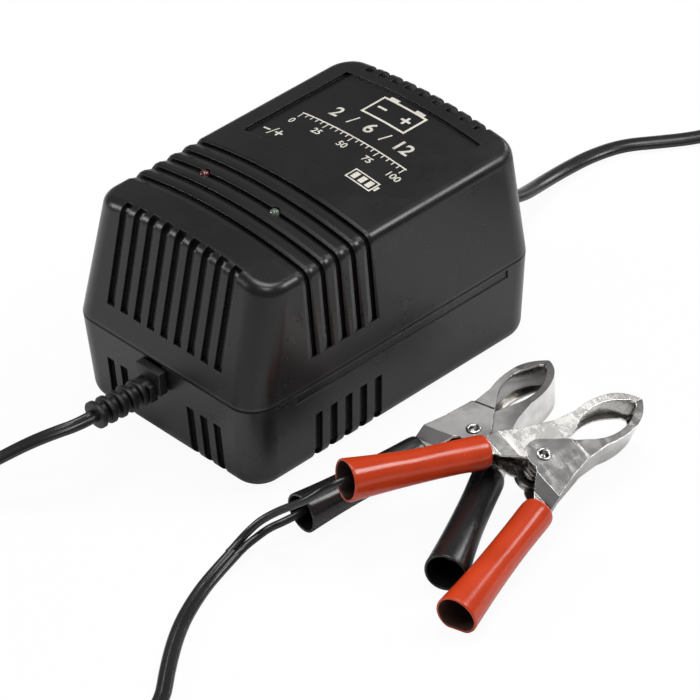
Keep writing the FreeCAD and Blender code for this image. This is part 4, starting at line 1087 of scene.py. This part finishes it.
def boot(name, base, way):
    """Ribbed boot that starts at the base and points along the way."""
    bpy.ops.mesh.primitive_circle_add(vertices=32, radius=MM, fill_type="NGON")
    piece = bpy.context.object
    piece.name = name
    through_stops(boot_stops(), along_z)
    face_outwards(piece)
    sideways = along_z.cross(way).normalized()
    upward = way.cross(sideways).normalized()
    placed = Matrix((sideways, upward, way)).transposed().to_4x4()
    placed.translation = base
    piece.data.transform(placed)
    return piece


print("a boot has", len(boot_stops()), "stops over", boot_length, "mm")

# %% Strain reliefs


def slab(one, other):
    """Block between two opposite corners in millimetres."""
    low = Vector([min(pair) for pair in zip(one, other)]) * MM
    high = Vector([max(pair) for pair in zip(one, other)]) * MM
    bpy.ops.mesh.primitive_cube_add(size=1, location=(low + high) / 2, scale=high - low)
    return settled()


def joined(pieces, name):
    nothing_selected()
    for piece in pieces:
        piece.select_set(True)
    bpy.context.view_layer.objects.active = pieces[0]
    bpy.ops.object.join()
    pieces[0].name = name
    return pieces[0]


flange_half, flange_deep, flange_proud = (4.8, 3.6), 2.85, 0.3
block_half, block_in, block_out = (3.35, 2.6), 0.5, 2.2
reliefs = {
    # where the boot starts and points, the flange's height, outwards, how low the block sits
    "output": ((-2.1, -56.56, 20.4), (-0.06976, -0.99756, 0.0), 23.3, -1, 2.9),
    "mains": ((0.0, 56.511, 22.3), (-0.0969, 0.9221, -0.3746), 22.3, 1, 0.0),
}
for lead_name, (base, way, middle_z, outwards, drop) in reliefs.items():
    node = lead_name + "_strain_relief"
    low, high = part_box(node)
    ribbed = boot(node + "_vinyl", Vector(base) * MM, Vector(way).normalized())
    x = base[0]
    y = base[1] + outwards * flange_proud
    block_z = middle_z - drop
    wide, tall = flange_half
    flange = slab((x - wide, y, middle_z - tall),
                  (x + wide, y - outwards * flange_deep, middle_z + tall))
    wide, tall = block_half
    block = slab((x - wide, y - outwards * block_in, block_z - tall),
                 (x + wide, y + outwards * block_out, block_z + tall))
    relief = joined([ribbed, flange, block], node + "_vinyl")
    soft = relief.modifiers.new("soft_edges", "BEVEL")
    soft.width = 0.28 * MM
    soft.segments = 3
    soft.limit_method = "ANGLE"
    soft.angle_limit = math.radians(35)
    apply_modifiers(relief)
    bpy.ops.object.shade_smooth_by_angle(angle=math.radians(45))
    dress(relief, boot_vinyl)
    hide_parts(node)
    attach(relief, "root")
    print(relief.name, "in place of a solid of", [round(c / MM, 1) for c in high - low], "mm")
nothing_selected()

# %% [markdown]
# ## Print on the lid
# The recess on the lid carries a thin screen print. Ours is plain: a battery outline, a few
# numbers, a scale, and a small sign behind each lamp. Numbers are text turned into mesh, and
# the rest is drawn with thin bars. All of it is then dropped onto the curved lid and given
# the thickness of a coat of ink.

# %% Bars and numbers
print_height = 72
slant = -18


def bar(x, y, wide, tall, turn=0.0):
    """Flat bar of ink with its middle at x, y, in millimetres."""
    bpy.ops.mesh.primitive_grid_add(
        x_subdivisions=max(1, round(wide / 2)), y_subdivisions=1, size=1,
        location=(x * MM, y * MM, print_height * MM), rotation=(0, 0, math.radians(turn)))
    bpy.context.object.scale = (wide * MM, tall * MM, 1)
    return settled()


def frame_of_bars(x, y, wide, tall, line):
    """Outline of a rectangle, made of four bars that meet at the corners."""
    beside = (wide - line) / 2
    return [bar(x, y + (tall - line) / 2, wide, line), bar(x, y - (tall - line) / 2, wide, line),
            bar(x - beside, y, line, tall - 2 * line), bar(x + beside, y, line, tall - 2 * line)]


def plus(x, y, span, line):
    return [bar(x, y, span, line), bar(x, y + (span + line) / 4, line, (span - line) / 2),
            bar(x, y - (span + line) / 4, line, (span - line) / 2)]


def number(x, y, text, tall):
    """A printed number with its middle at x, y."""
    bpy.ops.object.text_add(location=(x * MM, y * MM, print_height * MM))
    written = bpy.context.object
    written.data.body = text
    written.data.size = tall * MM
    written.data.align_x = "CENTER"
    written.data.align_y = "CENTER"
    written.data.offset = 0.02 * tall * MM
    only(written)
    bpy.ops.object.convert(target="MESH")
    return settled()


battery_y, volts_y, scale_y, percent_y, signs_y = 35.6, 26.2, 20.4, 15.6, 8.6
marks = frame_of_bars(0, battery_y, 17, 9.5, 0.7) + plus(4.6, battery_y, 3.4, 0.8)
marks += [bar(-5, 40.9, 3.4, 1.1), bar(5, 40.9, 3.4, 1.1), bar(-4.6, battery_y, 3.4, 0.8)]
marks += [number(x, volts_y, text, 6.4) for x, text in ((-13, "2"), (0, "6"), (13, "12"))]
marks += [bar(x, volts_y, 0.5, 4.4, slant) for x in (-6.5, 6.2)]
marks.append(bar(0, scale_y, 41, 0.45))
for tick in range(21):
    tall = 2.2 if tick % 5 == 0 else 1.2
    marks.append(bar(-20 + 2 * tick, scale_y - 0.3 - tall / 2, 0.35, tall))
marks += [number(-20 + 10 * step, percent_y, str(25 * step), 3.3) for step in range(5)]
marks += [bar(-22.4, signs_y, 2.6, 0.6), bar(-20.0, signs_y, 0.4, 4.2, slant)]
marks += plus(-17.6, signs_y, 2.8, 0.6)
marks += frame_of_bars(15.6, signs_y, 9.4, 4.6, 0.45) + [bar(20.9, signs_y, 0.8, 2.0)]
marks += [bar(12.9 + 2.7 * step, signs_y, 1.7, 2.7) for step in range(3)]
print(len(marks), "marks to print")

# %% Print on the lid
printed = joined(marks, "lid_print")
only(printed)
drop = printed.modifiers.new("onto_lid", "SHRINKWRAP")
drop.target = solids["upper_shell"]
drop.wrap_method = "PROJECT"
drop.use_project_z = True
drop.use_negative_direction = True
drop.use_positive_direction = False
drop.offset = 0.015 * MM
film = printed.modifiers.new("film", "SOLIDIFY")
film.thickness = 0.03 * MM
film.offset = 1
apply_modifiers(printed)
dress(printed, ink)
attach(printed, "root")
nothing_selected()
heights = [vertex.co.z / MM for vertex in printed.data.vertices]
print("print lies between", round(min(heights), 2), "and", round(max(heights), 2), "mm up,",
      len(printed.data.polygons), "faces")
